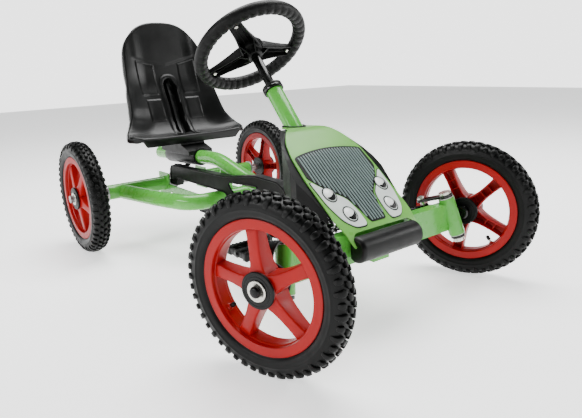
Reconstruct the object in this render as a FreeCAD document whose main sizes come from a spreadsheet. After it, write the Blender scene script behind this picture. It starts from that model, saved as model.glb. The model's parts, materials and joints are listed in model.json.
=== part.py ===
import FreeCAD, Part
import math
import os
import Sketcher
from FreeCAD import Placement, Rotation, Vector

# Pedal go kart for a young child, in millimetres.
# +X points forward, +Y to the driver's left, +Z up; Z = 0 is the ground.
# Stations named "ahead" are measured forward from the rear axle.
# The kart stands with its front wheels steered to the left.

DIMENSIONS = {
    # overall layout
    "rear_axle_x": -430, "axle_up": 156, "kingpin_ahead": 826, "kingpin_side": 230,
    "stub_ahead": 12, "stub_side": 72, "rear_half_track": 306,
    "steer_left": 19, "castor": 14, "kingpin_lean": 12,
    # wheels
    "tyre_radius": 156, "tyre_crown": 150.5, "tread_half": 20, "sidewall_bulge": 22,
    "bead_radius": 104.3, "bead_half": 16.6, "tyre_hip": 118, "knob_count": 20,
    "knob_wide": 17, "knob_across": 22,
    "lip_radius": 114, "lip_inner": 97.5, "lip_half": 19, "flange": 2.2, "well_radius": 104,
    "hub_radius": 23, "hub_half": 20, "hub_bore": 14, "spoke_count": 5,
    "spoke_root": 28, "spoke_tip": 25, "spoke_depth": 26,
    "cap_radius": 31, "cap_thick": 5, "stub_radius": 6, "rear_axle_radius": 10, "fit": 0.05,
    "washer_radius": 17.5, "washer_thick": 2.5, "nut_radius": 10.5, "nut_thick": 9,
    # tubes
    "rail_radius": 21, "rail_wall": 2.5, "rail_up": 150, "spine_radius": 19, "spine_wall": 2.5,
    "axle_tube_radius": 21, "axle_tube_bore": 18, "axle_tube_inner": 60, "axle_tube_outer": 240,
    "front_tube_radius": 14, "front_tube_bore": 11.5, "riser_radius": 15, "riser_bore": 12.5,
    # steering column
    "column_foot_ahead": 712.7, "column_foot_up": 192, "column_lean": 41, "shaft_radius": 11,
    "head_radius": 19.5, "head_bore": 16, "head_low": 8, "head_high": 320, "collar_radius": 23.7,
    "wheel_along": 450, "wheel_ring": 125, "grip_radius": 15.8, "steer_turn": 31,
    "drop_along": -10, "drop_length": 32, "drop_half": 14, "arm_length": 57,
    # front axle
    "beam_ahead": 814, "beam_deep": 24, "beam_tall": 60, "beam_up": 154, "beam_half": 222, "beam_wall": 3,
    "kingpin_tube": 17, "kingpin_bore": 13, "kingpin_half": 42, "kingpin_radius": 8,
    "leg_up": 44, "leg_thick": 6, "pivot_up": 155, "pivot_radius": 8,
    # drive
    "crank_ahead": 530, "crank_up": 172, "crank_length": 86, "crank_radius": 9,
    "shell_radius": 22, "shell_bore": 17, "shell_half": 27, "chain_side": -34,
    "front_tip": 47.6, "rear_tip": 29.5, "chain_thick": 5, "chain_wide": 6, "chain_gap": 0.7,
    "front_teeth": 22, "rear_teeth": 13, "sprocket_thick": 3,
    "pedal_length": 80, "pedal_width": 72, "pedal_thick": 22, "pedal_side": 112,
    # seat
    "seat_clearance": 0.35, "sleeve_radius": 25.5, "sleeve_rear": -60, "sleeve_front": 130,
    "seat_wall": 5,
    # bonnet and bumper
    "bonnet_thick": 4, "bumper_ahead": 841, "bumper_radius": 25, "bumper_half": 84,
    "bumper_up": 157,
}

DOC = FreeCAD.newDocument("pedal_go_kart")
NODES = []


def fill_sheet():
    sheet = DOC.addObject("Spreadsheet::Sheet", "sizes")
    for row, (word, number) in enumerate(DIMENSIONS.items(), start=1):
        sheet.set(f"A{row}", word)
        sheet.set(f"B{row}", str(number))
        sheet.setAlias(f"B{row}", word)
    DOC.recompute()
    return sheet


SHEET = fill_sheet()


def size(word):
    return float(SHEET.get(word))


def value(expression):
    """The number an expression such as 'sizes.hub_radius + 2' gives."""
    return float(SHEET.evalExpression(str(expression)))


def spot(ahead, left, up):
    return Vector(size("rear_axle_x") + ahead, left, up)


def unit(x, y, z):
    direction = Vector(x, y, z)
    direction.normalize()
    return direction


def along(start, direction):
    """A placement whose Z axis runs along the direction."""
    return Placement(start, Rotation(Vector(0, 0, 1), direction))


def framed(start, x_axis, z_axis):
    """A placement with the given X and Z axes."""
    return Placement(start, Rotation(x_axis, z_axis.cross(x_axis), z_axis, "ZXY"))


def node(label, shape):
    """Name one finished sub-part; its label becomes its file name."""
    shape.Label = label
    NODES.append(shape)
    return shape


# ---------------------------------------------------------------- building blocks

def cylinder(name, radius, height, place):
    solid = DOC.addObject("Part::Cylinder", name)
    solid.setExpression("Radius", str(radius))
    solid.setExpression("Height", str(height))
    solid.Placement = place
    return solid


def box(name, length, width, height, place):
    solid = DOC.addObject("Part::Box", name)
    solid.setExpression("Length", str(length))
    solid.setExpression("Width", str(width))
    solid.setExpression("Height", str(height))
    solid.Placement = place
    return solid


def cut(name, base, tool):
    result = DOC.addObject("Part::Cut", name)
    result.Base = base
    result.Tool = tool
    return result


def fuse(name, shapes):
    result = DOC.addObject("Part::MultiFuse", name)
    result.Shapes = shapes
    return result


def common(name, shapes):
    result = DOC.addObject("Part::MultiCommon", name)
    result.Shapes = shapes
    return result


def ring(name, outer, inner, height, place):
    """A plain bush or washer."""
    body = cylinder(f"{name}_body", outer, height, place)
    bore = cylinder(f"{name}_bore", inner, height, place)
    return cut(name, body, bore)


def polygon(name, corners):
    outline = DOC.addObject("Part::Polygon", name)
    outline.Nodes = corners
    outline.Close = True
    return outline


def prism(name, corners, reach):
    """A closed outline extruded along the reach vector."""
    solid = DOC.addObject("Part::Extrusion", name)
    solid.Base = polygon(f"{name}_outline", corners)
    solid.DirMode = "Custom"
    solid.Dir = reach
    solid.LengthFwd = reach.Length
    solid.Solid = True
    return solid


def rounded_route(points, bends):
    """Straight runs joined by tangent arcs, one radius for each inner point."""
    edges = []
    start = points[0]
    for here, after, bend in zip(points[1:-1], points[2:], bends):
        inward = (start - here).normalize()
        outward = (after - here).normalize()
        half = inward.getAngle(outward) / 2
        reach = bend / math.tan(half)
        first = here + inward * reach
        last = here + outward * reach
        middle = here + (inward + outward).normalize() * (bend / math.sin(half) - bend)
        edges.append(Part.LineSegment(start, first).toShape())
        edges.append(Part.Arc(first, middle, last).toShape())
        start = last
    edges.append(Part.LineSegment(start, points[-1]).toShape())
    return Part.Wire(edges)


def swept(name, points, bends, radius):
    """A round bar along a bent route."""
    route = DOC.addObject("Part::Feature", f"{name}_route")
    route.Shape = rounded_route(points, bends)
    section = DOC.addObject("Part::Circle", f"{name}_section")
    section.setExpression("Radius", str(radius))
    section.Placement = along(points[0], points[1] - points[0])
    sweep = DOC.addObject("Part::Sweep", name)
    sweep.Sections = [section]
    sweep.Spine = (route, [f"Edge{i + 1}" for i in range(len(route.Shape.Edges))])
    sweep.Solid = True
    return sweep


def bent_tube(name, points, bends, radius, wall):
    outside = swept(f"{name}_outside", points, bends, radius)
    inside = swept(f"{name}_inside", points, bends, f"{radius} - {wall}")
    return cut(name, outside, inside)


def origin_plane(body, role):
    return next(item for item in body.Origin.OriginFeatures if item.Role == role)


def outline_sketch(body, name, plane, corners):
    """A closed outline whose corners are bound to expressions.

    Each corner is (x, y) or (x, y, radius): with a radius, the stretch to the next
    corner is an arc that bulges to the right of the way the outline runs."""
    sketch = body.newObject("Sketcher::SketchObject", name)
    sketch.AttachmentSupport = (origin_plane(body, plane), [""])
    sketch.MapMode = "FlatFace"
    numbers = [Vector(value(corner[0]), value(corner[1]), 0) for corner in corners]
    starts = []
    for index, corner in enumerate(corners):
        here = numbers[index]
        after = numbers[(index + 1) % len(corners)]
        if len(corner) == 2:
            sketch.addGeometry(Part.LineSegment(here, after), False)
            starts.append((index, 1, 2))
            continue
        radius = value(corner[2])
        chord = after - here
        rise = math.sqrt(radius ** 2 - (chord.Length / 2) ** 2)
        left = Vector(-chord.y, chord.x, 0).normalize()
        centre = (here + after) / 2 + left * rise
        first = math.atan2(here.y - centre.y, here.x - centre.x)
        last = math.atan2(after.y - centre.y, after.x - centre.x)
        circle = Part.Circle(centre, Vector(0, 0, 1), radius)
        sketch.addGeometry(Part.ArcOfCircle(circle, first, last), False)
        starts.append((index, 1, 2))
    for index, corner in enumerate(corners):
        geometry, start, end = starts[index]
        following = starts[(index + 1) % len(corners)]
        sketch.addConstraint(Sketcher.Constraint("Coincident", geometry, end, following[0], 1))
        for kind, expression, number in (
            ("DistanceX", corner[0], numbers[index].x),
            ("DistanceY", corner[1], numbers[index].y),
        ):
            if abs(number) < 1e-9:
                axis = -2 if kind == "DistanceX" else -1
                sketch.addConstraint(Sketcher.Constraint("PointOnObject", geometry, start, axis))
                continue
            which = sketch.addConstraint(Sketcher.Constraint(kind, -1, 1, geometry, start, number))
            sketch.setExpression(f"Constraints[{which}]", str(expression))
        if len(corner) == 3:
            which = sketch.addConstraint(Sketcher.Constraint("Radius", geometry, value(corner[2])))
            sketch.setExpression(f"Constraints[{which}]", str(corner[2]))
    return sketch


def revolve(body, name, sketch):
    turned = body.newObject("PartDesign::Revolution", name)
    turned.Profile = sketch
    turned.ReferenceAxis = (sketch, ["V_Axis"])
    turned.Angle = 360
    DOC.recompute()
    return turned


def pad(body, name, sketch, length, midplane=True):
    block = body.newObject("PartDesign::Pad", name)
    block.Profile = sketch
    block.SideType = "Symmetric" if midplane else "One side"
    block.setExpression("Length", str(length))
    DOC.recompute()
    return block


def around(body, name, feature, count):
    """Repeat one feature about the body's own Z axis."""
    pattern = body.newObject("PartDesign::PolarPattern", name)
    pattern.Originals = [feature]
    pattern.Axis = (origin_plane(body, "Z_Axis"), [""])
    pattern.Angle = 360
    pattern.setExpression("Occurrences", str(count))
    body.Tip = pattern
    DOC.recompute()
    return pattern


def new_body(label, place):
    body = DOC.addObject("PartDesign::Body", label)
    body.Placement = place
    return node(label, body)


# ---------------------------------------------------------------- reference geometry

TURN = math.radians(size("steer_left"))
HEADING = Vector(math.cos(TURN), math.sin(TURN), 0)
AXLE_UP = size("axle_up")
LEAN = math.radians(size("column_lean"))
COLUMN = Vector(-math.sin(LEAN), 0, math.cos(LEAN))
COLUMN_FOOT = spot(size("column_foot_ahead"), 0, size("column_foot_up"))


def on_column(distance):
    return COLUMN_FOOT + COLUMN * distance


def kingpin_centre(side):
    return spot(size("kingpin_ahead"), side * size("kingpin_side"), AXLE_UP)


def kingpin_axis(side):
    castor = math.tan(math.radians(size("castor")))
    lean = math.tan(math.radians(size("kingpin_lean")))
    return unit(-castor, -side * lean, 1)


def steered_out(side):
    """The outward direction of a steered front wheel's axle."""
    return Vector(-side * HEADING.y, side * HEADING.x, 0)


def front_wheel_centre(side):
    return kingpin_centre(side) + HEADING * size("stub_ahead") + steered_out(side) * size("stub_side")


def wheel_places():
    """Each wheel's name, centre, outward direction and spoke angle."""
    return (
        ("front_right", front_wheel_centre(-1), steered_out(-1), 28),
        ("front_left", front_wheel_centre(1), steered_out(1), 63),
        ("rear_right", spot(0, -size("rear_half_track"), AXLE_UP), Vector(0, -1, 0), 54),
        ("rear_left", spot(0, size("rear_half_track"), AXLE_UP), Vector(0, 1, 0), 30),
    )


def wheel_place(centre, outward, angle=0):
    """Local Z points outward, local Y up before the wheel is turned by the angle."""
    forward = Vector(0, 0, 1).cross(outward)
    place = framed(centre, forward, outward)
    return place.multiply(Placement(Vector(), Rotation(Vector(0, 0, 1), angle)))


# ---------------------------------------------------------------- wheels

def make_tyre(name, place):
    body = new_body(f"{name}_tyre", place)
    hip = "sizes.tread_half - 2"
    section = outline_sketch(body, f"{name}_tyre_section", "XZ_Plane", [
        ("sizes.bead_radius", "-sizes.bead_half"),
        ("sizes.tyre_hip", "-sizes.bead_half"),
        ("sizes.tyre_hip", f"-({hip})"),
        ("sizes.tyre_hip + 1", "-sizes.tread_half", "sizes.sidewall_bulge"),
        ("sizes.tyre_crown", "-sizes.tread_half", "4 * sizes.tread_half"),
        ("sizes.tyre_crown", "sizes.tread_half", "sizes.sidewall_bulge"),
        ("sizes.tyre_hip + 1", "sizes.tread_half"),
        ("sizes.tyre_hip", hip),
        ("sizes.tyre_hip", "sizes.bead_half"),
        ("sizes.bead_radius", "sizes.bead_half"),
        ("sizes.bead_radius", "sizes.bead_half - 5"),
        ("sizes.tyre_hip + 2", "sizes.bead_half - 4"),
        ("sizes.tyre_crown - 5", "sizes.tread_half - 3"),
        ("sizes.tyre_crown - 3", "0"),
        ("sizes.tyre_crown - 5", "-(sizes.tread_half - 3)"),
        ("sizes.tyre_hip + 2", "-(sizes.bead_half - 4)"),
        ("sizes.bead_radius", "-(sizes.bead_half - 5)"),
    ])
    revolve(body, f"{name}_carcass", section)
    knob = outline_sketch(body, f"{name}_knob_outline", "XY_Plane", [
        ("sizes.tyre_crown - 1", "-sizes.knob_wide / 2"),
        ("sizes.tyre_radius", "-sizes.knob_wide / 2"),
        ("sizes.tyre_radius", "sizes.knob_wide / 2"),
        ("sizes.tyre_crown - 1", "sizes.knob_wide / 2"),
    ])
    block = pad(body, f"{name}_knob", knob, "sizes.knob_across")
    around(body, f"{name}_tread", block, "sizes.knob_count")


def make_rim(name, place):
    """Moulded hub and five spokes, then the rim ring that joins their tips."""
    body = new_body(f"{name}_rim", place)
    hub = outline_sketch(body, f"{name}_hub_section", "XZ_Plane", [
        ("sizes.hub_bore", "-sizes.hub_half"), ("sizes.hub_radius", "-sizes.hub_half"),
        ("sizes.hub_radius", "sizes.hub_half"), ("sizes.hub_bore", "sizes.hub_half"),
    ])
    revolve(body, f"{name}_hub", hub)
    arm = outline_sketch(body, f"{name}_spoke_outline", "XY_Plane", [
        ("sizes.hub_radius - 6", "-sizes.spoke_root / 2"),
        ("sizes.lip_inner + 2", "-sizes.spoke_tip / 2"),
        ("sizes.lip_inner + 2", "sizes.spoke_tip / 2"),
        ("sizes.hub_radius - 6", "sizes.spoke_root / 2"),
    ])
    spoke = pad(body, f"{name}_spoke", arm, "sizes.spoke_depth")
    around(body, f"{name}_spokes", spoke, "sizes.spoke_count")
    lip = outline_sketch(body, f"{name}_ring_section", "XZ_Plane", [
        ("sizes.lip_inner", "-sizes.lip_half"), ("sizes.lip_radius", "-sizes.lip_half"),
        ("sizes.lip_radius", "-(sizes.lip_half - sizes.flange)"),
        ("sizes.well_radius", "-(sizes.lip_half - sizes.flange)"),
        ("sizes.well_radius", "sizes.lip_half - sizes.flange"),
        ("sizes.lip_radius", "sizes.lip_half - sizes.flange"),
        ("sizes.lip_radius", "sizes.lip_half"), ("sizes.lip_inner", "sizes.lip_half"),
    ])
    revolve(body, f"{name}_ring", lip)


def shifted(place, distance):
    """The same placement moved along its own Z axis."""
    return place.multiply(Placement(Vector(0, 0, distance), Rotation()))


def make_wheel_fittings(name, place, axle_radius):
    """The outer hub cap, and the pair of hub bushes or the keyed drive hub."""
    bore = f"sizes.{axle_radius} + sizes.fit"
    cap = ring(f"{name}_hub_cap_disc", "sizes.cap_radius", bore, "sizes.cap_thick",
               shifted(place, size("hub_half") + 0.1))
    node(f"{name}_hub_cap", cap)
    outer = "sizes.hub_bore - sizes.fit"
    if name == "rear_right":
        insert = ring(f"{name}_insert", outer, bore, "2 * sizes.hub_half",
                      shifted(place, -size("hub_half")))
        node(f"{name}_drive_hub", insert)
        return
    bushes = []
    for tag, low in (("inner", -size("hub_half")), ("outer", size("hub_half") - 14)):
        bushes.append(ring(f"{name}_{tag}_bush", outer, bore, 14, shifted(place, low)))
    node(f"{name}_hub_bushes", fuse(f"{name}_bush_pair", bushes))


def make_wheels():
    for name, centre, outward, angle in wheel_places():
        place = wheel_place(centre, outward)
        make_tyre(name, place)
        make_rim(name, wheel_place(centre, outward, angle))
        axle = "stub_radius" if name.startswith("front") else "rear_axle_radius"
        make_wheel_fittings(name, place, axle)


# ---------------------------------------------------------------- rear axle and its housing

def make_rear_axle():
    reach = size("rear_half_track") + size("hub_half") + size("cap_thick") + 12
    start = spot(0, -reach, AXLE_UP)
    bar = cylinder("rear_axle_bar", "sizes.rear_axle_radius", 2 * reach, along(start, Vector(0, 1, 0)))
    node("rear_axle", bar)
    washers = []
    gap = 0.3
    for side in (1, -1):
        outward = Vector(0, side, 0)
        face = size("rear_half_track") + size("hub_half") + size("cap_thick") + 0.1 + gap
        place = along(spot(0, side * face, AXLE_UP), outward)
        bore = "sizes.rear_axle_radius + sizes.fit"
        washers.append(ring(f"axle_washer_{side + 1}", "sizes.washer_radius", bore,
                            "sizes.washer_thick", place))
        washers.append(axle_cap(f"rear_cap_{side + 1}", shifted(place, size("washer_thick") + 0.1),
                                "sizes.rear_axle_radius + sizes.fit", 12.5))
    node("rear_axle_nuts", fuse("rear_axle_fasteners", washers))
    sprocket("drive_sprocket", spot(0, size("chain_side"), AXLE_UP), "sizes.rear_tip",
             "sizes.rear_teeth", "sizes.rear_axle_radius + sizes.fit")


def axle_cap(name, place, bore, radius):
    """A push-on cap nut, closed at its outer end."""
    shell = cylinder(f"{name}_outside", radius, "sizes.nut_thick + 3", place)
    hollow = cylinder(f"{name}_inside", bore, "sizes.nut_thick", place)
    return cut(name, shell, hollow)


def sprocket(label, centre, tip, teeth, bore):
    """A toothed disc: round gaps cut from its edge, and five lightening holes."""
    body = new_body(label, Placement(centre, Rotation(Vector(1, 0, 0), 90)))
    disc = outline_sketch(body, f"{label}_section", "XZ_Plane", [
        (bore, "-sizes.sprocket_thick / 2"), (tip, "-sizes.sprocket_thick / 2"),
        (tip, "sizes.sprocket_thick / 2"), (bore, "sizes.sprocket_thick / 2"),
    ])
    revolve(body, f"{label}_disc", disc)
    gap = body.newObject("Sketcher::SketchObject", f"{label}_gap_outline")
    gap.AttachmentSupport = (origin_plane(body, "XY_Plane"), [""])
    gap.MapMode = "FlatFace"
    gap.addGeometry(Part.Circle(Vector(value(tip), 0, 0), Vector(0, 0, 1), 3.2), False)
    gap.addConstraint(Sketcher.Constraint("PointOnObject", 0, 3, -1))
    across = gap.addConstraint(Sketcher.Constraint("DistanceX", -1, 1, 0, 3, value(tip)))
    gap.setExpression(f"Constraints[{across}]", tip)
    gap.addConstraint(Sketcher.Constraint("Radius", 0, 3.2))
    pocket = body.newObject("PartDesign::Pocket", f"{label}_gap")
    pocket.Profile = gap
    pocket.Type = "ThroughAll"
    pocket.Midplane = True
    DOC.recompute()
    around(body, f"{label}_teeth", pocket, teeth)


def make_axle_tubes():
    """Two housing tubes, each with a bearing plate at its inner end and a strut forward."""
    inner = size("axle_tube_inner")
    length = "sizes.axle_tube_outer - sizes.axle_tube_inner"
    for side, label in ((1, "axle_tube_left"), (-1, "axle_tube_right")):
        out = Vector(0, side, 0)
        place = along(spot(0, side * inner, AXLE_UP), out)
        pipe = cylinder(f"{label}_pipe", "sizes.axle_tube_radius", length, place)
        low = min(side * inner, side * (inner + 5))
        plate = box(f"{label}_plate", 62, 5, 66,
                    Placement(spot(-31, low, AXLE_UP - 33), Rotation()))
        strut = box(f"{label}_strut", 238, 5, 22,
                    Placement(spot(14, low, AXLE_UP - 22), Rotation()))
        welded = fuse(f"{label}_welded", [pipe, plate, strut])
        bore = cylinder(f"{label}_bore", "sizes.axle_tube_bore", length, place)
        bored = cut(f"{label}_bored", welded, bore)
        node(label, cut(f"{label}_coped", bored, rail_solid(f"{label}_rail", side)))


def rail_points(side):
    up = size("rail_up")
    return [
        spot(0, side * 196, up + 3), spot(150, side * 156, up),
        spot(275, side * 118, up), spot(275, side * 0.1, up),
    ]


def rail_solid(name, side):
    return swept(name, rail_points(side), [260, 62], "sizes.rail_radius")


def make_side_rails():
    for side, label in ((1, "side_rail_left"), (-1, "side_rail_right")):
        tube = bent_tube(f"{label}_tube", rail_points(side), [260, 62],
                         "sizes.rail_radius", "sizes.rail_wall")
        housing = cylinder(f"{label}_cope", "sizes.axle_tube_radius + sizes.fit", 240,
                           along(spot(0, side * 70, AXLE_UP), Vector(0, side, 0)))
        node(label, cut(f"{label}_coped", tube, housing))


def make_axle_bearings():
    bushes = []
    for side in (1, -1):
        out = Vector(0, side, 0)
        inner = size("axle_tube_inner")
        outer = size("axle_tube_outer")
        bore = "sizes.rear_axle_radius + sizes.fit"
        for tag, low in (("inner", inner + 1), ("outer", outer - 14)):
            bushes.append(ring(f"axle_bush_{tag}_{side + 1}", "sizes.axle_tube_bore - sizes.fit",
                               bore, 13.9, along(spot(0, side * low, AXLE_UP), out)))
        bushes.append(ring(f"axle_bush_flange_{side + 1}", "sizes.axle_tube_radius + 2.5", bore, 5,
                           along(spot(0, side * (outer + 0.05), AXLE_UP), out)))
    node("axle_bearings", fuse("axle_bushes", bushes))


# ---------------------------------------------------------------- main frame

def spine_points():
    return [
        spot(-141, 0, 229), spot(225, 0, 247), spot(392, 0, 203), spot(560, 0, 211),
        COLUMN_FOOT + COLUMN * ((213 - size("column_foot_up")) / COLUMN.z),
    ]


def spine_solid(name):
    return swept(name, spine_points(), [230, 260, 600], "sizes.spine_radius")


def make_spine():
    tube = bent_tube("spine_pipe", spine_points(), [230, 260, 600],
                     "sizes.spine_radius", "sizes.spine_wall")
    column = cylinder("spine_column_cope", "sizes.head_radius + sizes.fit", 260,
                      along(on_column(-60), COLUMN))
    node("spine_tube", cut("spine_coped", tube, column))
    # The head tube carries the steering shaft.
    node("head_tube", ring("head_pipe", "sizes.head_radius", "sizes.head_bore",
                           "sizes.head_high - sizes.head_low", along(on_column(size("head_low")), COLUMN)))
    make_riser()
    make_front_bracket(column)


def make_riser():
    """Short upright tube that joins the side rails to the spine."""
    foot = spot(262, 0, size("rail_up"))
    post = ring("riser_pipe", "sizes.riser_radius", "sizes.riser_bore", 90,
                along(foot, Vector(0, 0, 1)))
    rails = fuse("riser_rails", [rail_solid("riser_rail_left", 1), rail_solid("riser_rail_right", -1)])
    lower = cut("riser_lower_cope", post, rails)
    node("frame_riser", cut("riser_coped", lower, spine_solid("riser_spine")))


def make_front_bracket(column):
    """Tube from the head tube to a fork of two plates that holds the front beam's pivot."""
    half = size("beam_deep") / 2
    rear = size("beam_ahead") - half - 6
    front = size("beam_ahead") + half + 2
    low = size("beam_up") - size("beam_tall") / 2 - 9
    start = on_column(70)
    end = spot(rear, 0, 192)
    way = end - start
    pipe = ring("front_pipe", "sizes.front_tube_radius", "sizes.front_tube_bore", way.Length,
                along(start, way))
    parts = [
        cut("front_pipe_coped", pipe, column),
        box("pivot_plate_rear", 4, 44, 90, Placement(spot(rear, -22, low), Rotation())),
        box("pivot_plate_front", 4, 44, 62, Placement(spot(front, -22, low), Rotation())),
        box("pivot_bridge", front + 4 - rear, 44, 4, Placement(spot(rear, -22, low), Rotation())),
    ]
    welded = fuse("front_bracket_welded", parts)
    pivot = size("pivot_up")
    forward = Vector(1, 0, 0)
    hole = cylinder("front_bracket_hole", "sizes.pivot_radius + sizes.fit", 60,
                    along(spot(rear - 10, 0, pivot), forward))
    node("front_bracket", cut("front_bracket_bored", welded, hole))
    head = cylinder("pivot_head", 11, 6, along(spot(rear - 6.1, 0, pivot), forward))
    shank = cylinder("pivot_shank", "sizes.pivot_radius", front + 4 - rear + 3,
                     along(spot(rear - 3, 0, pivot), forward))
    node("beam_pivot_bolt", fuse("pivot_bolt", [head, shank]))


def make_bottom_bracket():
    half = size("shell_half")
    across = Vector(0, 1, 0)
    place = along(spot(size("crank_ahead"), -half, size("crank_up")), across)
    shell = ring("bracket_pipe", "sizes.shell_radius", "sizes.shell_bore", "2 * sizes.shell_half", place)
    node("bottom_bracket_shell", cut("bracket_coped", shell, spine_solid("bracket_spine")))
    bushes = []
    for tag, low in (("right", -half), ("left", half - 12)):
        bushes.append(ring(f"crank_bush_{tag}", "sizes.shell_bore - sizes.fit",
                           "sizes.crank_radius + sizes.fit", 12,
                           along(spot(size("crank_ahead"), low, size("crank_up")), across)))
    node("crank_bushes", fuse("crank_bush_pair", bushes))


def make_steering_bushes():
    bore = "sizes.shaft_radius + sizes.fit"
    lower = ring("steering_bush_low", "sizes.head_bore - sizes.fit", bore, 20,
                 along(on_column(size("head_low")), COLUMN))
    upper = ring("steering_bush_high", "sizes.head_bore - sizes.fit", bore, 20,
                 along(on_column(size("head_high") - 20), COLUMN))
    collar = ring("steering_collar", "sizes.collar_radius", bore, 14,
                  along(on_column(size("head_high") + 0.05), COLUMN))
    node("steering_bushes", fuse("steering_bush_set", [lower, upper, collar]))


# ---------------------------------------------------------------- front axle

def make_front_beam():
    deep = size("beam_deep")
    tall = size("beam_tall")
    half = size("beam_half")
    wall = size("beam_wall")
    rear = size("beam_ahead") - deep / 2
    low = size("beam_up") - tall / 2
    skin = box("beam_skin", "sizes.beam_deep", "2 * sizes.beam_half", "sizes.beam_tall",
               Placement(spot(rear, -half, low), Rotation()))
    hollow = box("beam_hollow", "sizes.beam_deep - 2 * sizes.beam_wall", "2 * sizes.beam_half + 20",
                 "sizes.beam_tall - 2 * sizes.beam_wall",
                 Placement(spot(rear + wall, -half - 10, low + wall), Rotation()))
    parts = [cut("beam_box", skin, hollow)]
    bores = []
    reach = size("kingpin_half")
    for side in (1, -1):
        axis = kingpin_axis(side)
        place = along(kingpin_centre(side) - axis * reach, axis)
        parts.append(cylinder(f"kingpin_tube_{side + 1}", "sizes.kingpin_tube",
                              "2 * sizes.kingpin_half", place))
        bores.append(cylinder(f"kingpin_bore_{side + 1}", "sizes.kingpin_bore",
                              "2 * sizes.kingpin_half", place))
    pivot = along(spot(rear, 0, size("pivot_up")), Vector(1, 0, 0))
    parts.append(cylinder("beam_pivot_tube", 14, "sizes.beam_deep", pivot))
    bores.append(cylinder("beam_pivot_bore", "sizes.pivot_radius + sizes.fit", "sizes.beam_deep", pivot))
    welded = fuse("beam_welded", parts)
    node("front_beam", cut("beam_bored", welded, fuse("beam_bores", bores)))


def make_kingpins():
    bushes = []
    bolts = []
    reach = size("kingpin_half")
    leg = size("leg_up") + size("leg_thick")
    for side in (1, -1):
        axis = kingpin_axis(side)
        centre = kingpin_centre(side)
        for end in (1, -1):
            way = axis * end
            tag = f"{side + 1}_{end + 1}"
            bore = "sizes.kingpin_radius + sizes.fit"
            bushes.append(ring(f"kingpin_bush_{tag}", "sizes.kingpin_bore - sizes.fit", bore, 14,
                               along(centre + way * (reach - 14), way)))
            bushes.append(ring(f"kingpin_flange_{tag}", "sizes.kingpin_tube - 1", bore, 1.6,
                               along(centre + way * (reach + 0.05), way)))
        shank = cylinder(f"kingpin_shank_{side + 1}", "sizes.kingpin_radius", 2 * leg + 12,
                         along(centre - axis * (leg + 6), axis))
        head = cylinder(f"kingpin_head_{side + 1}", 13, 6, along(centre + axis * (leg + 0.3), axis))
        nut = cylinder(f"kingpin_nut_{side + 1}", 12, 8, along(centre - axis * (leg + 0.3), -axis))
        bolts.append(fuse(f"kingpin_bolt_{side + 1}", [shank, head, nut]))
    node("kingpin_bushes", fuse("kingpin_bush_set", bushes))
    node("kingpin_bolts", fuse("kingpin_bolt_pair", bolts))


def arm_tip(side):
    """Lower face of the steering arm at its tie rod stud."""
    axis = kingpin_axis(side)
    back = HEADING * -1
    back = (back - axis * back.dot(axis)).normalize()
    return kingpin_centre(side) + axis * size("leg_up") + back * size("arm_length")


ROD_AXES = {1: unit(-0.2444, -0.3795, 1), -1: unit(-0.3512, 0.3544, 1)}


def make_knuckles():
    """C-shaped knuckle of flat bar with its steering arm, tie rod stud and stub axle."""
    leg = size("leg_up")
    thick = size("leg_thick")
    for side, label in ((1, "knuckle_left"), (-1, "knuckle_right")):
        axis = kingpin_axis(side)
        outward = steered_out(side)
        flat_out = (outward - axis * outward.dot(axis)).normalize()
        place = framed(kingpin_centre(side), flat_out, axis)
        # In the knuckle's own frame Y points forward on the left side, backward on the right.
        rear_edge = -16 if side < 0 else -14
        parts = []
        for tag, low in (("upper", leg), ("lower", -leg - thick)):
            parts.append(box(f"{label}_{tag}_leg", 56, 30, "sizes.leg_thick",
                             place.multiply(Placement(Vector(-16, rear_edge, low), Rotation()))))
        parts.append(box(f"{label}_back", "sizes.leg_thick", 30, 2 * (leg + thick),
                         place.multiply(Placement(Vector(34, rear_edge, -leg - thick), Rotation()))))
        parts.append(make_steering_arm(label, side, axis))
        stub_start = front_wheel_centre(side) - outward * 40
        stub_length = 40 + size("hub_half") + size("cap_thick") + 12
        parts.append(cylinder(f"{label}_stub", "sizes.stub_radius", stub_length,
                              along(stub_start, outward)))
        parts.append(cylinder(f"{label}_shoulder", 11, 17, along(stub_start, outward)))
        welded = fuse(f"{label}_welded", parts)
        hole = cylinder(f"{label}_hole", "sizes.kingpin_radius + sizes.fit", 140,
                        along(kingpin_centre(side) - axis * 70, axis))
        node(label, cut(f"{label}_bored", welded, hole))
        make_stub_nut(side, outward)


def make_steering_arm(label, side, axis):
    tip = arm_tip(side)
    root = kingpin_centre(side) + axis * size("leg_up")
    way = (tip - root).normalize()
    across = axis.cross(way)
    bar = box(f"{label}_arm_bar", size("arm_length") + 10, 22, "sizes.leg_thick",
              Placement(root - across * 11, Rotation(way, across, axis, "ZXY")))
    stud = cylinder(f"{label}_rod_stud", 5, 24, along(tip + ROD_AXES[side] * 3, ROD_AXES[side] * -1))
    return fuse(f"{label}_arm", [bar, stud])


def make_stub_nut(side, outward):
    label = "front_nut_left" if side > 0 else "front_nut_right"
    face = size("hub_half") + size("cap_thick") + 0.4
    place = along(front_wheel_centre(side) + outward * face, outward)
    washer = ring(f"{label}_washer", "sizes.washer_radius", "sizes.stub_radius + sizes.fit",
                  "sizes.washer_thick", place)
    cap = axle_cap(f"{label}_cap", shifted(place, size("washer_thick") + 0.1),
                   "sizes.stub_radius + sizes.fit", "sizes.nut_radius")
    node(label, fuse(f"{label}_set", [washer, cap]))


# ---------------------------------------------------------------- steering

def drop_pin(side):
    """Where each tie rod pin leaves the drop arm, turned with the steering."""
    down = Vector(-math.cos(LEAN), 0, -math.sin(LEAN)) * size("drop_length")
    straight = down + Vector(0, side * size("drop_half"), 0)
    return on_column(size("drop_along")) + Rotation(COLUMN, size("steer_turn")).multVec(straight)


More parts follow.
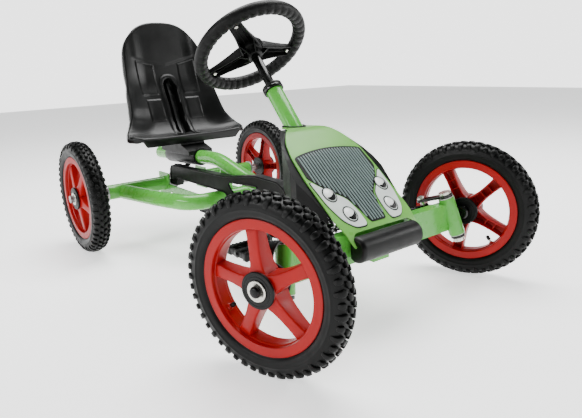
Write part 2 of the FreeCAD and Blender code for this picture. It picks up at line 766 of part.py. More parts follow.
def make_steering():
    foot = size("drop_along") - 4
    node("steering_shaft", cylinder("shaft_bar", "sizes.shaft_radius", size("wheel_along") - 2 - foot,
                                    along(on_column(foot), COLUMN)))
    make_steering_wheel()
    down = Vector(-math.cos(LEAN), 0, -math.sin(LEAN))
    down = Rotation(COLUMN, size("steer_turn")).multVec(down)
    place = framed(on_column(size("drop_along") - 2.5), down, COLUMN)
    wide = size("drop_half") + 9
    end = size("drop_length") + 9
    outline = [(-13, -13), (-13, 13), (18, wide), (end, wide), (end, -wide), (18, -wide)]
    corners = [place.multVec(Vector(down_way, across, 0)) for down_way, across in outline]
    pins = [prism("drop_plate", corners, COLUMN * 5)]
    for side in (1, -1):
        pins.append(cylinder(f"drop_pin_{side + 1}", 3.5, 23, along(drop_pin(side), COLUMN * -1)))
    welded = fuse("drop_welded", pins)
    hole = cylinder("drop_hole", "sizes.shaft_radius + sizes.fit", 40, along(on_column(-30), COLUMN))
    node("drop_arm", cut("drop_bored", welded, hole))
    for side in (1, -1):
        make_tie_rod(side)


def make_tie_rod(side):
    """Rod with a close eye on the knuckle stud and a wide eye round the drop arm's pin."""
    label = "tie_rod_left" if side > 0 else "tie_rod_right"
    outer = arm_tip(side) - ROD_AXES[side] * 15
    inner = drop_pin(side) - COLUMN * 14
    way = (inner - outer).normalize()
    rod = cylinder(f"{label}_bar", 6, (inner - outer).Length, along(outer, way))
    big = cylinder(f"{label}_outer_eye", 11, 10, along(outer - ROD_AXES[side] * 5, ROD_AXES[side]))
    small = cylinder(f"{label}_inner_eye", 11.8, 8, along(inner - COLUMN * 4, COLUMN))
    forged = fuse(f"{label}_forged", [rod, big, small])
    holes = fuse(f"{label}_holes", [
        cylinder(f"{label}_outer_hole", "5 + sizes.fit", 24,
                 along(outer - ROD_AXES[side] * 12, ROD_AXES[side])),
        cylinder(f"{label}_inner_hole", 8.2, 24, along(inner - COLUMN * 12, COLUMN)),
    ])
    node(label, cut(f"{label}_bored", forged, holes))


def make_steering_wheel():
    centre = on_column(size("wheel_along"))
    turned = Rotation(COLUMN, size("steer_turn")).multVec(Vector(-math.cos(LEAN), 0, -math.sin(LEAN)))
    place = framed(centre, turned, COLUMN)
    grip = DOC.addObject("Part::Torus", "wheel_grip")
    grip.setExpression("Radius1", "sizes.wheel_ring")
    grip.setExpression("Radius2", "sizes.grip_radius")
    grip.Placement = place
    parts = [grip]
    for index, angle in enumerate((12, 103, 241)):
        local = Placement(Vector(), Rotation(Vector(0, 0, 1), angle))
        shift = Placement(Vector(10, -16, -12), Rotation())
        parts.append(box(f"wheel_spoke_{index}", "sizes.wheel_ring - 16", 32, 12,
                         place.multiply(local).multiply(shift)))
    parts.append(cylinder("wheel_boss", 30, 30, shifted(place, -26)))
    moulded = fuse("wheel_moulded", parts)
    bore = cylinder("wheel_bore", "sizes.shaft_radius + sizes.fit", 60, shifted(place, -50))
    node("steering_wheel", cut("wheel_bored", moulded, bore))
    node("steering_wheel_pad", cylinder("wheel_pad", 27, 6, shifted(place, 10.1)))


# ---------------------------------------------------------------- crank, chain and guard

def make_crank():
    """One-piece crank: its right arm points down and its left arm up."""
    centre = spot(size("crank_ahead"), 0, size("crank_up"))
    arm_side = 56
    parts = [cylinder("crank_axle", "sizes.crank_radius", 2 * arm_side + 8,
                      along(centre - Vector(0, arm_side + 4, 0), Vector(0, 1, 0)))]
    for side in (1, -1):
        up = Vector(0, 0, side)
        root = centre + Vector(0, side * arm_side, 0)
        tag = "left" if side > 0 else "right"
        arm_place = Placement(root + Vector(-9, -4, 0), Rotation())
        if side < 0:
            arm_place = Placement(root + Vector(-9, -4, -size("crank_length")), Rotation())
        parts.append(box(f"crank_arm_{tag}", 18, 8, "sizes.crank_length", arm_place))
        parts.append(cylinder(f"crank_eye_{tag}", 13, 8,
                              along(root + up * size("crank_length") - Vector(0, 4, 0), Vector(0, 1, 0))))
        reach = size("pedal_side") - arm_side + size("pedal_width") / 2 + 3
        parts.append(cylinder(f"pedal_axle_{tag}", 5, reach,
                              along(root + up * size("crank_length"), Vector(0, side, 0))))
    node("crank", fuse("crank_forged", parts))
    sprocket("chainring", spot(size("crank_ahead"), size("chain_side"), size("crank_up")),
             "sizes.front_tip", "sizes.front_teeth", "sizes.crank_radius + sizes.fit")
    for side in (1, -1):
        make_pedal(side)


def make_pedal(side):
    label = "pedal_left" if side > 0 else "pedal_right"
    middle = spot(size("crank_ahead"), side * size("pedal_side"),
                  size("crank_up") + side * size("crank_length"))
    corner = middle - Vector(size("pedal_length") / 2, size("pedal_width") / 2, size("pedal_thick") / 2)
    slab = box(f"{label}_slab", "sizes.pedal_length", "sizes.pedal_width", "sizes.pedal_thick",
               Placement(corner, Rotation()))
    rounded = DOC.addObject("Part::Fillet", f"{label}_rounded")
    rounded.Base = slab
    rounded.Edges = [(edge, 9, 9) for edge in (2, 4, 6, 8)]
    bore = cylinder(f"{label}_bore", "5 + sizes.fit", 90,
                    along(middle - Vector(0, 45, 0), Vector(0, 1, 0)))
    node(label, cut(f"{label}_bored", rounded, bore))


def loop_face(rear_radius, front_radius):
    """A belt-shaped face round the two sprocket centres, in the chain's plane."""
    rear = spot(0, 0, AXLE_UP)
    front = spot(size("crank_ahead"), 0, size("crank_up"))
    apart = front - rear
    tilt = math.atan2(apart.z, apart.x)
    open_angle = math.acos((rear_radius - front_radius) / apart.Length)
    ends = {}
    for name, centre, radius in (("rear", rear, rear_radius), ("front", front, front_radius)):
        for tag, angle in (("top", tilt + open_angle), ("low", tilt - open_angle)):
            ends[name, tag] = centre + Vector(math.cos(angle), 0, math.sin(angle)) * radius
    back = rear - Vector(math.cos(tilt), 0, math.sin(tilt)) * rear_radius
    nose = front + Vector(math.cos(tilt), 0, math.sin(tilt)) * front_radius
    edges = [
        Part.LineSegment(ends["rear", "top"], ends["front", "top"]).toShape(),
        Part.Arc(ends["front", "top"], nose, ends["front", "low"]).toShape(),
        Part.LineSegment(ends["front", "low"], ends["rear", "low"]).toShape(),
        Part.Arc(ends["rear", "low"], back, ends["rear", "top"]).toShape(),
    ]
    return Part.Face(Part.Wire(edges))


def make_chain():
    """The chain as one closed band that clears both sprockets' teeth."""
    gap = size("chain_gap")
    thick = size("chain_thick")
    inner = loop_face(size("rear_tip") + gap, size("front_tip") + gap)
    outer = loop_face(size("rear_tip") + gap + thick, size("front_tip") + gap + thick)
    wide = size("chain_wide")
    band = outer.extrude(Vector(0, wide, 0)).cut(inner.extrude(Vector(0, wide, 0)))
    chain = DOC.addObject("Part::Feature", "chain_band")
    chain.Shape = band
    chain.Placement = Placement(Vector(0, size("chain_side") - wide / 2, 0), Rotation())
    node("chain", chain)


GUARD_OUTLINE = [
    (12, 152), (12, 196), (22, 211), (59, 213), (333, 220), (470, 240), (560, 238),
    (590, 222), (600, 190), (600, 150), (585, 120), (560, 104), (500, 98), (180, 98),
    (180, 128.4), (380, 128.4), (330, 176), (60, 176), (48, 152),
]
GUARD_WINDOW = [(347, 205), (440, 212), (480, 213), (452, 190), (400, 180), (366, 182)]


def inset(corners, distance):
    """The outline with every side moved inwards; its corners run clockwise in (ahead, up)."""
    count = len(corners)
    moved = []
    for index in range(count):
        before, here, after = (Vector(*corners[(index + step) % count], 0) for step in (-1, 0, 1))
        first = (here - before).normalize()
        second = (after - here).normalize()
        inward = Vector(first.y, -first.x, 0) + Vector(second.y, -second.x, 0)
        inward.normalize()
        reach = distance / inward.dot(Vector(second.y, -second.x, 0))
        point = here + inward * reach
        moved.append((point.x, point.y))
    return moved


def guard_prism(name, corners, side, deep):
    return prism(name, [spot(ahead, side, up) for ahead, up in corners], Vector(0, deep, 0))


def make_chain_guard():
    """A tray-shaped cover: an outer sheet with a turned-in edge, open behind and towards the frame."""
    skin = guard_prism("guard_skin", GUARD_OUTLINE, -47, 23)
    hollow = guard_prism("guard_hollow", inset(GUARD_OUTLINE, 2.5), -44.5, 30)
    window = guard_prism("guard_window", GUARD_WINDOW, -50, 10)
    rear_gap = guard_prism("guard_rear_gap", [(-10, 145), (-10, 208), (40, 208), (46, 145)], -44.5, 30)
    gap_corners = [(160, 100.5), (160, 125.9), (200, 125.9), (200, 100.5)]
    low_gap = guard_prism("guard_low_gap", gap_corners, -44.5, 30)
    crank_hole = cylinder("guard_crank_hole", 17, 60,
                          along(spot(size("crank_ahead"), -60, size("crank_up")), Vector(0, 1, 0)))
    openings = fuse("guard_openings", [hollow, window, rear_gap, low_gap, crank_hole])
    node("chain_guard", cut("guard_opened", skin, openings))


# ---------------------------------------------------------------- bonnet, lamps and bumper

TOP_LINE = [(566, 357), (612, 357), (678, 314), (726, 274), (836, 186)]
BONNET_PLAN = [(566, 30), (600, 38), (645, 82), (678, 94), (727, 99), (812, 97), (836, 93.5)]
GRILLE_PLAN = [(684, 90), (724, 93), (776, 33), (826, 20)]
LAMP_PLAN = [(732, 94), (776, 38), (829, 33), (826, 62), (813, 78)]
SHELL_PLAN = [(566, 36), (600, 46), (645, 92), (700, 116), (722, 119), (796, 99)]
SHELL_LOW = [(796, 200), (730, 208), (668, 226), (622, 276), (566, 318)]


def strip(name, line, lift, thick, half):
    """A sheet that follows the bonnet's side line, raised by lift."""
    top = [spot(ahead, -half, up + lift) for ahead, up in line]
    low = [spot(ahead, -half, up + lift - thick) for ahead, up in reversed(line)]
    return prism(name, top + low, Vector(0, 2 * half, 0))


def plan_prism(name, plan, sides=(1, -1)):
    """The plan outline as an upright prism: both sides mirrored, or one side alone."""
    if sides == (1, -1):
        corners = [spot(a, w, 120) for a, w in plan] + [spot(a, -w, 120) for a, w in reversed(plan)]
    else:
        corners = [spot(a, sides[0] * w, 120) for a, w in plan]
    return prism(name, corners, Vector(0, 0, 300))


def make_bonnet():
    passage = cylinder("bonnet_passage", "sizes.head_radius + 1.5", 500, along(on_column(0), COLUMN))
    sheet = strip("bonnet_strip", TOP_LINE, 0, size("bonnet_thick"), 130)
    cover = common("bonnet_cover", [sheet, plan_prism("bonnet_plan", BONNET_PLAN)])
    horns = []
    for side in (1, -1):
        root = side * (size("bumper_half") + 1.5)
        corners = [spot(828, root, 189), spot(836, root, 186), spot(854, root, 160), spot(846, root, 160)]
        horns.append(prism(f"bonnet_horn_{side + 1}", corners, Vector(0, side * 8, 0)))
    node("bonnet", cut("bonnet_notched", fuse("bonnet_moulded", [cover] + horns), passage))
    raised = 0.3 + 3
    grille = common("grille_sheet", [
        strip("grille_strip", TOP_LINE, raised, 3, 130), plan_prism("grille_plan", GRILLE_PLAN)])
    node("grille", grille)
    lamps = []
    for side in (1, -1):
        lamps.append(common(f"lamp_sheet_{side + 1}", [
            strip(f"lamp_strip_{side + 1}", TOP_LINE, raised + 1.5, 4.5, 130),
            plan_prism(f"lamp_plan_{side + 1}", LAMP_PLAN, (side,))]))
    node("headlights", fuse("lamp_pair", lamps))
    make_bonnet_shell(passage)


def make_bonnet_shell(passage):
    """Black under-shell: a roof and two side walls, open behind, below and in front."""
    lift = -size("bonnet_thick") - 0.4
    wall = 4
    block = common("shell_block", [
        strip_above("shell_side", lift, SHELL_LOW), plan_prism("shell_plan", SHELL_PLAN)])
    inner_plan = [(ahead, half - wall) for ahead, half in SHELL_PLAN]
    inner_plan[0] = (SHELL_PLAN[0][0] - 20, SHELL_PLAN[0][1] - wall)
    inner_plan[-1] = (SHELL_PLAN[-1][0] + 20, SHELL_PLAN[-1][1] - wall)
    deep_line = [(836, 100), (540, 100)]
    hollow = common("shell_hollow", [
        strip_above("shell_inner_side", lift - wall - 0.5, deep_line),
        plan_prism("shell_inner_plan", inner_plan)])
    node("bonnet_shell", cut("shell_notched", cut("shell_open", block, hollow), passage))


def strip_above(name, lift, low_line):
    """Everything between a lower line and the bonnet's side line, across the kart."""
    start = (540, TOP_LINE[0][1])
    roof = [start] + TOP_LINE[1:]
    side_face = [spot(ahead, -130, up + lift) for ahead, up in roof]
    side_face += [spot(ahead, -130, up) for ahead, up in low_line]
    return prism(name, side_face, Vector(0, 260, 0))


def make_bumper():
    body = new_body("bumper", Placement(spot(size("bumper_ahead"), 0, size("bumper_up")),
                                        Rotation(Vector(1, 0, 0), 90)))
    section = outline_sketch(body, "bumper_section", "XY_Plane", [
        ("0", "-sizes.bumper_radius"),
        ("3", "-sizes.bumper_radius", "sizes.bumper_radius + 0.01"),
        ("3", "sizes.bumper_radius"),
        ("0", "sizes.bumper_radius"),
    ])
    pad(body, "bumper_roll", section, "2 * sizes.bumper_half")


# ---------------------------------------------------------------- seat

SPINE_SLOPE = unit(366, 0, 18)


def seat_stations():
    """Sections from the seat's front lip to the top of its back.

    Each gives the middle point, the half width, how far the sides stand proud of the
    middle, and the direction that the seat's face looks in."""
    return (
        ((92, 280), 172, 8, unit(1, 0, 0.1)),
        ((97, 306), 187, 8, unit(1, 0, 1)),
        ((62, 303), 186, 18, unit(0.05, 0, 1)),
        ((34, 312), 170, 30, unit(0.55, 0, 0.83)),
        ((-8, 382), 148, 24, unit(0.9, 0, 0.43)),
        ((-40, 452), 135, 18, unit(0.96, 0, 0.28)),
        ((-62, 545), 119, 5, unit(0.98, 0, 0.2)),
        ((-77, 623), 80, 1, unit(0.98, 0, 0.2)),
    )


def seat_section(name, middle, half_width, raised, facing):
    """A flat strip across the seat: five points on its face and the same five behind."""
    face = []
    for share, lift in ((-1, raised), (-0.74, 0), (0, -1), (0.74, 0), (1, raised)):
        face.append(spot(middle[0], share * half_width, middle[1]) + facing * lift)
    behind = [point - facing * size("seat_wall") for point in reversed(face)]
    return polygon(name, face + behind)


def make_seat():
    sections = []
    for index, station in enumerate(seat_stations()):
        sections.append(seat_section(f"seat_section_{index}", *station))
    shell = DOC.addObject("Part::Loft", "seat_loft")
    shell.Sections = sections
    shell.Solid = True
    shell.Ruled = True
    node("seat_shell", shell)
    make_seat_bracket()


def make_seat_bracket():
    """Wedge block with a sleeve that slides on the spine tube, and its clamp lever."""
    rear = size("sleeve_rear")
    front = size("sleeve_front")
    start_up = 229 + (rear + 141) * SPINE_SLOPE.z / SPINE_SLOPE.x
    sleeve_place = along(spot(rear, 0, start_up), SPINE_SLOPE)
    length = "sizes.sleeve_front - sizes.sleeve_rear"
    sleeve = cylinder("seat_sleeve", "sizes.sleeve_radius", length, sleeve_place)
    side = [(-52, 250), (-46, 268), (24, 302), (52, 295.5), (84, 295.5), (84, 276), (128, 262), (128, 250)]
    wedge = prism("seat_wedge", [spot(a, -38, u) for a, u in side], Vector(0, 76, 0))
    bore = cylinder("seat_sleeve_bore", "sizes.spine_radius + sizes.seat_clearance", front - rear + 80,
                    shifted(sleeve_place, -40))
    screw_axis = Vector(SPINE_SLOPE.z, 0, -SPINE_SLOPE.x)
    on_tube = spot(38, 0, 229 + (38 + 141) * SPINE_SLOPE.z / SPINE_SLOPE.x)
    hole = cylinder("seat_screw_hole", "4 + sizes.fit", 20, along(on_tube + screw_axis * 18, screw_axis))
    solid = cut("seat_bracket_bored", fuse("seat_bracket_moulded", [sleeve, wedge]), bore)
    node("seat_bracket", cut("seat_bracket_tapped", solid, hole))
    grip = on_tube + screw_axis * 33
    lever = unit(-0.95, -0.31, -0.95 * SPINE_SLOPE.z / SPINE_SLOPE.x)
    parts = [
        cylinder("knob_stem", 4, 11.4, along(on_tube + screw_axis * 21.6, screw_axis)),
        cylinder("knob_boss", 8, 7, along(on_tube + screw_axis * 26.2, screw_axis)),
        cylinder("knob_bar", 3, 44, along(grip, lever)),
        cylinder("knob_grip", 5.5, 24, along(grip + lever * 30, lever)),
    ]
    node("seat_knob", fuse("knob_moulded", parts))
    screws = []
    for index, (ahead, left) in enumerate(((54, 24), (54, -24), (78, 24), (78, -24))):
        upright = along(spot(ahead, left, 305.9), Vector(0, 0, 1))
        screws.append(cylinder(f"seat_screw_{index}", 6, 2.5, upright))
    node("seat_screws", fuse("seat_screw_set", screws))


# ---------------------------------------------------------------- checks and files

def check_document():
    for item in DOC.Objects:
        if "Invalid" in item.State or "Error" in item.State:
            raise SystemExit(f"{item.Name} failed: {item.State}")
    for item in NODES:
        if item.Shape.isNull() or not item.Shape.isValid() or not item.Shape.Solids:
            raise SystemExit(f"{item.Label} has no valid solid")


def write_parts():
    os.makedirs("parts", exist_ok=True)
    for old in os.listdir("parts"):
        os.remove(os.path.join("parts", old))
    for item in NODES:
        item.Shape.exportStep(os.path.join("parts", f"{item.Label}.step"))
        print(f"{item.Label}: {len(item.Shape.Solids)} solids, {item.Shape.Volume / 1000:.1f} cm3")


make_wheels()
make_rear_axle()
make_axle_tubes()
make_side_rails()
make_axle_bearings()
make_spine()
make_bottom_bracket()
make_steering_bushes()
make_front_beam()
make_kingpins()
make_knuckles()
make_steering()
make_crank()
make_chain()
make_chain_guard()
make_bonnet()
make_bumper()
make_seat()
DOC.recompute()
check_document()
write_parts()
print(f"{len(NODES)} sub-parts")
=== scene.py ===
import bmesh
import bpy
import json
import math
from mathutils import Matrix, Vector


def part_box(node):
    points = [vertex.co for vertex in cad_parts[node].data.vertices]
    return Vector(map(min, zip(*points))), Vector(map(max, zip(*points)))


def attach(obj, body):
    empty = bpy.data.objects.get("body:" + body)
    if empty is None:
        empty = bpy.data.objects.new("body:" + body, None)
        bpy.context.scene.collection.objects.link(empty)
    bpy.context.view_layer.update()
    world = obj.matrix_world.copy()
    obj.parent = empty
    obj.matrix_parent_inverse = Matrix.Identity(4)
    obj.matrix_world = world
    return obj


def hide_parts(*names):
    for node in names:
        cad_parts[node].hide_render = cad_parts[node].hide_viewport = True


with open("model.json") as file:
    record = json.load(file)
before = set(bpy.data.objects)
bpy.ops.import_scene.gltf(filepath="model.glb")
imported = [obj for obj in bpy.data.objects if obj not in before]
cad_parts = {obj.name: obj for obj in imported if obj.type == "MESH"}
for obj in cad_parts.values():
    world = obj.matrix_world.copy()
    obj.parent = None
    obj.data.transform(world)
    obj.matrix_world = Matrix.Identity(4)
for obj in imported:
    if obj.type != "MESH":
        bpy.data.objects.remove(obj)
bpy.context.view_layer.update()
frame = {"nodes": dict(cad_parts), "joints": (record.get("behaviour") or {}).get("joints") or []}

# Pedal go kart, in metres: +X forward, +Y to the driver's left, +Z up.
# Stations called "ahead" are measured in millimetres forward from the rear axle.

JOINTS = {joint["name"]: joint for joint in frame["joints"]}
REAR_AXLE_X = JOINTS["rear_axle_spin"]["pos_m"][0]
AXLE_UP = JOINTS["rear_axle_spin"]["pos_m"][2]
COLUMN = Vector(JOINTS["steering_turn"]["axis"]).normalized()
COLUMN_FOOT = Vector(JOINTS["steering_turn"]["pos_m"])
WHEEL_ALONG = 0.450
COLLAR_ALONG = 0.3205
COLUMN_LEAN = math.radians(41)
STEER_TURN = math.radians(31)
UPRIGHT = Matrix.Rotation(math.pi / 2, 4, "X")


def spot(ahead, left, up):
    """A point from millimetres ahead of the rear axle, to the left, and above the ground."""
    return Vector((REAR_AXLE_X + ahead / 1000, left / 1000, up / 1000))


def frame_at(origin, x_axis, z_axis):
    """The matrix of a local frame with that origin, X axis and Z axis."""
    z = Vector(z_axis).normalized()
    x = (Vector(x_axis) - z * z.dot(Vector(x_axis))).normalized()
    y = z.cross(x)
    matrix = Matrix((x, y, z)).transposed().to_4x4()
    matrix.translation = origin
    return matrix


def turn_z(angle):
    return Matrix.Rotation(angle, 4, "Z")


def polar(angle, radius):
    return radius * math.cos(angle), radius * math.sin(angle)


def mix(low, high, share):
    return low + (high - low) * share


def ease(low, high, value):
    """0 below low, 1 above high, smooth between."""
    share = min(1.0, max(0.0, (value - low) / (high - low)))
    return share * share * (3 - 2 * share)


def along_line(points, share):
    """A point on a Catmull-Rom curve through the points, share from 0 to 1."""
    last = len(points) - 1
    place = min(max(share, 0.0), 1.0) * last
    index = min(int(place), last - 1)
    t = place - index
    near = [points[min(max(index + step, 0), last)] for step in (-1, 0, 1, 2)]
    return tuple(
        0.5 * (2 * b + (c - a) * t + (2 * a - 5 * b + 4 * c - d) * t * t
               + (3 * b - a - 3 * c + d) * t ** 3)
        for a, b, c, d in zip(*near)
    )


# ---------------------------------------------------------------- materials

def srgb(red, green, blue):
    """Linear colour from 0-255 display values."""
    return tuple((value / 255) ** 2.2 for value in (red, green, blue)) + (1.0,)


class Finish:
    """Wires one procedural material around a Principled shader."""

    def __init__(self, name, roughness, **values):
        self.material = bpy.data.materials.new(name)
        self.material.use_nodes = True
        self.tree = self.material.node_tree
        self.shader = self.tree.nodes["Principled BSDF"]
        self.shader.inputs["Specular IOR Level"].default_value = 0.2
        self.fill(self.shader, Roughness=roughness, **values)
        self.place = self.node("TexCoord", "Object")
        self.normal = None

    def fill(self, node, **values):
        """Links each named socket of a node to an output, or sets its value."""
        for name, value in values.items():
            socket = node.inputs[name.replace("_", " ")]
            if isinstance(value, bpy.types.NodeSocket):
                self.tree.links.new(value, socket)
            else:
                socket.default_value = value

    def node(self, kind, output, **values):
        """Adds a node and returns one of its outputs."""
        node = self.tree.nodes.new("ShaderNode" + kind)
        self.fill(node, **values)
        return node.outputs[output]

    def noise(self, scale, detail, stretch=None):
        place = self.place
        if stretch:
            place = self.node("Mapping", "Vector", Vector=place, Scale=stretch)
        return self.node("TexNoise", "Fac", Vector=place, Scale=scale, Detail=detail)

    def cells(self, scale):
        return self.node("TexVoronoi", "Distance", Vector=self.place, Scale=scale)

    def bump(self, height, distance, strength):
        """Adds a layer of relief over the layers before it."""
        before = {"Normal": self.normal} if self.normal else {}
        self.normal = self.node("Bump", "Normal", Height=height, Distance=distance,
                                Strength=strength, **before)
        self.fill(self.shader, Normal=self.normal)

    def colour(self, factor, stops):
        node = self.tree.nodes.new("ShaderNodeValToRGB")
        set_stops(node, stops)
        self.fill(node, Fac=factor)
        self.fill(self.shader, Base_Color=node.outputs["Color"])

    def rough(self, factor, low, high):
        """Varies the roughness between two values where the factor goes from 0.3 to 0.7."""
        self.fill(self.shader, Roughness=self.node(
            "MapRange", "Result", Value=factor, From_Min=0.3, From_Max=0.7, To_Min=low, To_Max=high))


def set_stops(ramp, stops):
    """Gives a colour ramp its two (position, colour) stops."""
    for element, (position, colour) in zip(ramp.color_ramp.elements, stops):
        element.position = position
        element.color = colour


def shades(red, green, blue, spread):
    """Two stops for a ramp: the colour a little darker and a little lighter."""
    return [(place, srgb(red * scale, green * scale, blue * scale))
            for place, scale in ((0.3, 1 - spread), (0.7, 1 + spread))]


def paint(name, colour):
    """Powder coat: a slight orange-peel surface under a clear gloss."""
    finish = Finish(name, 0.28, Coat_Weight=0.4, Coat_Roughness=0.08)
    finish.colour(finish.noise(9, 2), shades(*colour, 0.02))
    finish.rough(finish.noise(60, 3), 0.24, 0.33)
    finish.bump(finish.noise(420, 2), 0.0002, 0.2)
    return finish.material


def moulded(name, colour, roughness, grain=900, depth=0.00012, spread=0.06, coat=0.0, shine=0.2):
    """Moulded plastic with a fine spark-eroded grain."""
    finish = Finish(name, roughness, Coat_Weight=coat, Coat_Roughness=0.2, Specular_IOR_Level=shine)
    finish.colour(finish.noise(22, 4), shades(*colour, spread))
    finish.rough(finish.noise(45, 4), roughness - 0.07, roughness + 0.08)
    finish.bump(finish.noise(grain, 3), depth, 0.6)
    return finish.material


def rubber():
    """Tyre rubber: dull black, a little dusty, with a fine uneven skin."""
    finish = Finish("tyre_rubber", 0.5, Specular_IOR_Level=0.16)
    finish.colour(finish.noise(38, 6), [(0.25, srgb(6, 7, 6)), (0.75, srgb(15, 16, 15))])
    finish.rough(finish.noise(55, 5), 0.32, 0.5)
    finish.bump(finish.noise(260, 5), 0.0003, 0.5)
    return finish.material


def bare_metal(name, colour, roughness, streak=(1, 1, 1)):
    finish = Finish(name, roughness, Metallic=1.0)
    finish.colour(finish.noise(70, 5), shades(*colour, 0.08))
    finish.rough(finish.noise(240, 4, streak), roughness - 0.08, roughness + 0.12)
    finish.bump(finish.noise(700, 3, streak), 0.00008, 0.5)
    return finish.material


def leather_grain_plastic():
    """The seat's blow-moulded skin: satin black with a soft pebble grain."""
    finish = Finish("seat_plastic", 0.34, Coat_Weight=0.08, Coat_Roughness=0.25,
                    Specular_IOR_Level=0.22)
    finish.colour(finish.noise(9, 4), [(0.3, srgb(7, 8, 7)), (0.7, srgb(12, 13, 12))])
    finish.rough(finish.noise(18, 4), 0.27, 0.4)
    finish.bump(finish.cells(520), 0.00018, 0.35)
    finish.bump(finish.noise(70, 3), 0.0004, 0.12)
    return finish.material


M = {
    "frame": paint("frame_paint", (78, 158, 60)),
    "bonnet": moulded("bonnet_plastic", (98, 160, 70), 0.34, 700, 0.0001, 0.02, 0.12),
    "rim": moulded("rim_plastic", (142, 3, 5), 0.4, 800, 0.00012, 0.04, 0.04),
    "tyre": rubber(),
    "black": moulded("black_plastic", (10, 11, 10), 0.42, 650, 0.0002),
    "gloss": moulded("black_gloss", (8, 9, 9), 0.18, 900, 0.00006, 0.05, 0.35, 0.3),
    "guard": moulded("guard_plastic", (9, 10, 9), 0.42, 750, 0.00018, 0.06, 0.0, 0.13),
    "shell": moulded("shell_plastic", (7, 8, 7), 0.38, 750, 0.00018, 0.06, 0.0, 0.12),
    "seat": leather_grain_plastic(),
    "coated": paint("black_coat", (9, 10, 9)),
    "zinc": bare_metal("zinc_plate", (198, 197, 188), 0.26),
    "steel": bare_metal("plain_steel", (150, 150, 150), 0.36, (1, 8, 1)),
    "chain": bare_metal("oiled_chain", (92, 88, 82), 0.38),
    "bush": moulded("white_nylon", (224, 224, 218), 0.4, 900, 0.0001, 0.02),
    "grille_gap": moulded("grille_gap", (8, 9, 9), 0.5),
    "grille_rib": moulded("grille_rib", (104, 120, 118), 0.4, 900, 0.0001, 0.03),
    "lamp": moulded("lamp_panel", (196, 204, 199), 0.3, 900, 0.00006, 0.03, 0.2),
    "lamp_lens": moulded("lamp_lens", (228, 232, 229), 0.14, 900, 0.00004, 0.02, 0.6),
    "lamp_dark": moulded("lamp_dark", (6, 7, 7), 0.3),
    "grip": moulded("grip_rubber", (7, 8, 7), 0.46, 800, 0.00015, 0.06, 0.0, 0.16),
    "bumper": moulded("bumper_foam", (10, 11, 10), 0.4, 500, 0.00015, 0.05, 0.0, 0.22),
}

# Only the nodes that stay in view; the others are replaced by pieces made further down.
NODE_FINISH = {
    "frame": ("axle_tube_left", "axle_tube_right", "side_rail_left", "side_rail_right", "spine_tube",
              "head_tube", "frame_riser", "front_bracket", "bottom_bracket_shell", "front_beam"),
    "coated": ("steering_shaft", "drop_arm", "tie_rod_left", "tie_rod_right", "crank", "chainring",
               "seat_screws"),
    "steel": ("rear_axle", "drive_sprocket", "axle_bearings", "rear_right_drive_hub"),
    "zinc": ("beam_pivot_bolt", "kingpin_bolts"),
    "bush": ("crank_bushes", "kingpin_bushes", "front_left_hub_bushes", "front_right_hub_bushes",
             "rear_left_hub_bushes"),
    "black": ("steering_bushes", "seat_bracket", "seat_knob"),
    "guard": ("chain_guard",),
    "shell": ("bonnet_shell",),
}

# Width of the rounding in mm: nodes
BEVELLED = {
    2.5: ("seat_bracket",),
    2.0: ("front_beam",),
    1.6: ("bonnet_shell",),
    1.2: ("front_bracket", "crank", "steering_bushes", "tie_rod_left", "tie_rod_right"),
    1.0: ("drop_arm", "seat_knob", "axle_tube_left", "axle_tube_right"),
    0.8: ("kingpin_bolts", "kingpin_bushes", "beam_pivot_bolt", "seat_screws", "axle_bearings",
          "steering_shaft"),
    0.6: ("head_tube", "bottom_bracket_shell"),
    0.5: ("frame_riser",),
    0.4: ("chainring", "drive_sprocket"),
}


def finish_cad_nodes():
    for finish, nodes in NODE_FINISH.items():
        for name in nodes:
            materials = frame["nodes"][name].data.materials
            materials.clear()
            materials.append(M[finish])
    for width, nodes in BEVELLED.items():
        for name in nodes:
            soften(frame["nodes"][name], width / 1000)


def add_bevel(thing, width, segments, angle):
    bevel = thing.modifiers.new("bevel", "BEVEL")
    bevel.width = width
    bevel.segments = segments
    bevel.limit_method = "ANGLE"
    bevel.angle_limit = math.radians(angle)
    return bevel


def soften(thing, width):
    """Joins the split corners, then rounds the sharp edges."""
    weld = thing.modifiers.new("weld", "WELD")
    weld.merge_threshold = 0.00002
    add_bevel(thing, width, 3, 38).harden_normals = True


def thicken(sheet, thick, offset=-1):
    """Gives an open sheet its thickness."""
    solid = sheet.modifiers.new("thickness", "SOLIDIFY")
    solid.thickness = thick
    solid.offset = offset


# ---------------------------------------------------------------- mesh helpers

def settle(name, mesh, body, place=None, replaced=()):
    """Makes one piece of the object from a mesh."""
    piece = bpy.data.objects.new(name, mesh)
    bpy.context.scene.collection.objects.link(piece)
    if place is not None:
        piece.matrix_world = place
    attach(piece, body)
    if replaced:
        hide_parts(*replaced)
    return piece


def put(shape, name, materials, body, place=None, replaced=(), smooth=35):
    """Makes one piece of the object from a shape; edges sharper than smooth degrees stay sharp."""
    return settle(name, shape.mesh(name, materials, smooth), body, place, replaced)


def steps_to_one(count):
    """Shares from 0 to 1 in that many steps."""
    return [step / count for step in range(count + 1)]


